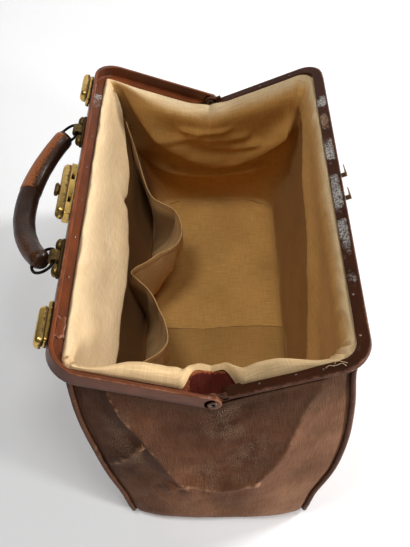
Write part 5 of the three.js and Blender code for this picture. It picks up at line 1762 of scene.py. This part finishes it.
class Steps:
    """What every building step does: it calls its builders in order."""

    def execute(self, context):
        for build in self.builders:
            build()
        return {"FINISHED"}


class BAG_OT_frame(Steps, bpy.types.Operator):
    """Build the two leather-covered jaws, their hinge rivets, nails and laps"""

    bl_idname = "bag.frame"
    bl_label = "Frame"
    builders = (build_lock_jaw, build_hook_jaw, build_rivets, build_nails, build_frame_lap, build_threads)


class BAG_OT_body(Steps, bpy.types.Operator):
    """Build the leather body: end strip, long sides and welts"""

    bl_idname = "bag.body"
    bl_label = "Leather body"
    builders = (build_gusset, build_side_panels, build_piping)


class BAG_OT_lining(Steps, bpy.types.Operator):
    """Build the cotton lining, its floor and the hinge patch"""

    bl_idname = "bag.lining"
    bl_label = "Lining"
    builders = (build_lining, build_lining_floor, build_hinge_patch)


class BAG_OT_pocket(Steps, bpy.types.Operator):
    """Build the gathered pocket"""

    bl_idname = "bag.pocket"
    bl_label = "Pocket"
    builders = (build_pocket,)


class BAG_OT_handle(Steps, bpy.types.Operator):
    """Build the handle, its rings and its brackets"""

    bl_idname = "bag.handle"
    bl_label = "Handle"
    builders = (build_handle, build_rings, build_brackets)


class BAG_OT_fittings(Steps, bpy.types.Operator):
    """Build the lock, the end catches and the hooks"""

    bl_idname = "bag.fittings"
    bl_label = "Lock, catches and hooks"
    builders = (build_lock, build_catches, build_hooks)


class BAG_OT_stage(Steps, bpy.types.Operator):
    """Build the floor, the light and the camera"""

    bl_idname = "bag.stage"
    bl_label = "Stage"
    builders = (build_floor, build_lights, build_camera)


OPERATORS = (
    *(BAG_OT_frame, BAG_OT_body, BAG_OT_lining, BAG_OT_pocket),
    *(BAG_OT_handle, BAG_OT_fittings, BAG_OT_stage),
)


class BAG_PT_panel(bpy.types.Panel):
    """Sizes, colours and building steps of the bag"""

    bl_idname = "BAG_PT_panel"
    bl_label = "Travel bag"
    bl_space_type = "VIEW_3D"
    bl_region_type = "UI"
    bl_category = "Travel bag"

    def draw(self, context):
        for group in (context.scene.bag_sizes, context.scene.bag_colours):
            box = self.layout.box()
            for name in group.__annotations__:
                box.prop(group, name)
        for operator in OPERATORS:
            self.layout.operator(operator.bl_idname)


CLASSES = (BagSizes, BagColours, *OPERATORS, BAG_PT_panel)


def register():
    for cls in CLASSES:
        bpy.utils.register_class(cls)
    bpy.types.Scene.bag_sizes = PointerProperty(type=BagSizes)
    bpy.types.Scene.bag_colours = PointerProperty(type=BagColours)


def unregister():
    del bpy.types.Scene.bag_colours
    del bpy.types.Scene.bag_sizes
    for cls in reversed(CLASSES):
        bpy.utils.unregister_class(cls)


def main():
    """Builds the whole bag and its stage."""
    register()
    for step in ("stage", "frame", "body", "lining", "pocket", "handle", "fittings"):
        getattr(bpy.ops.bag, step)()
    bpy.context.view_layer.update()


if __name__ == "__main__":
    main()
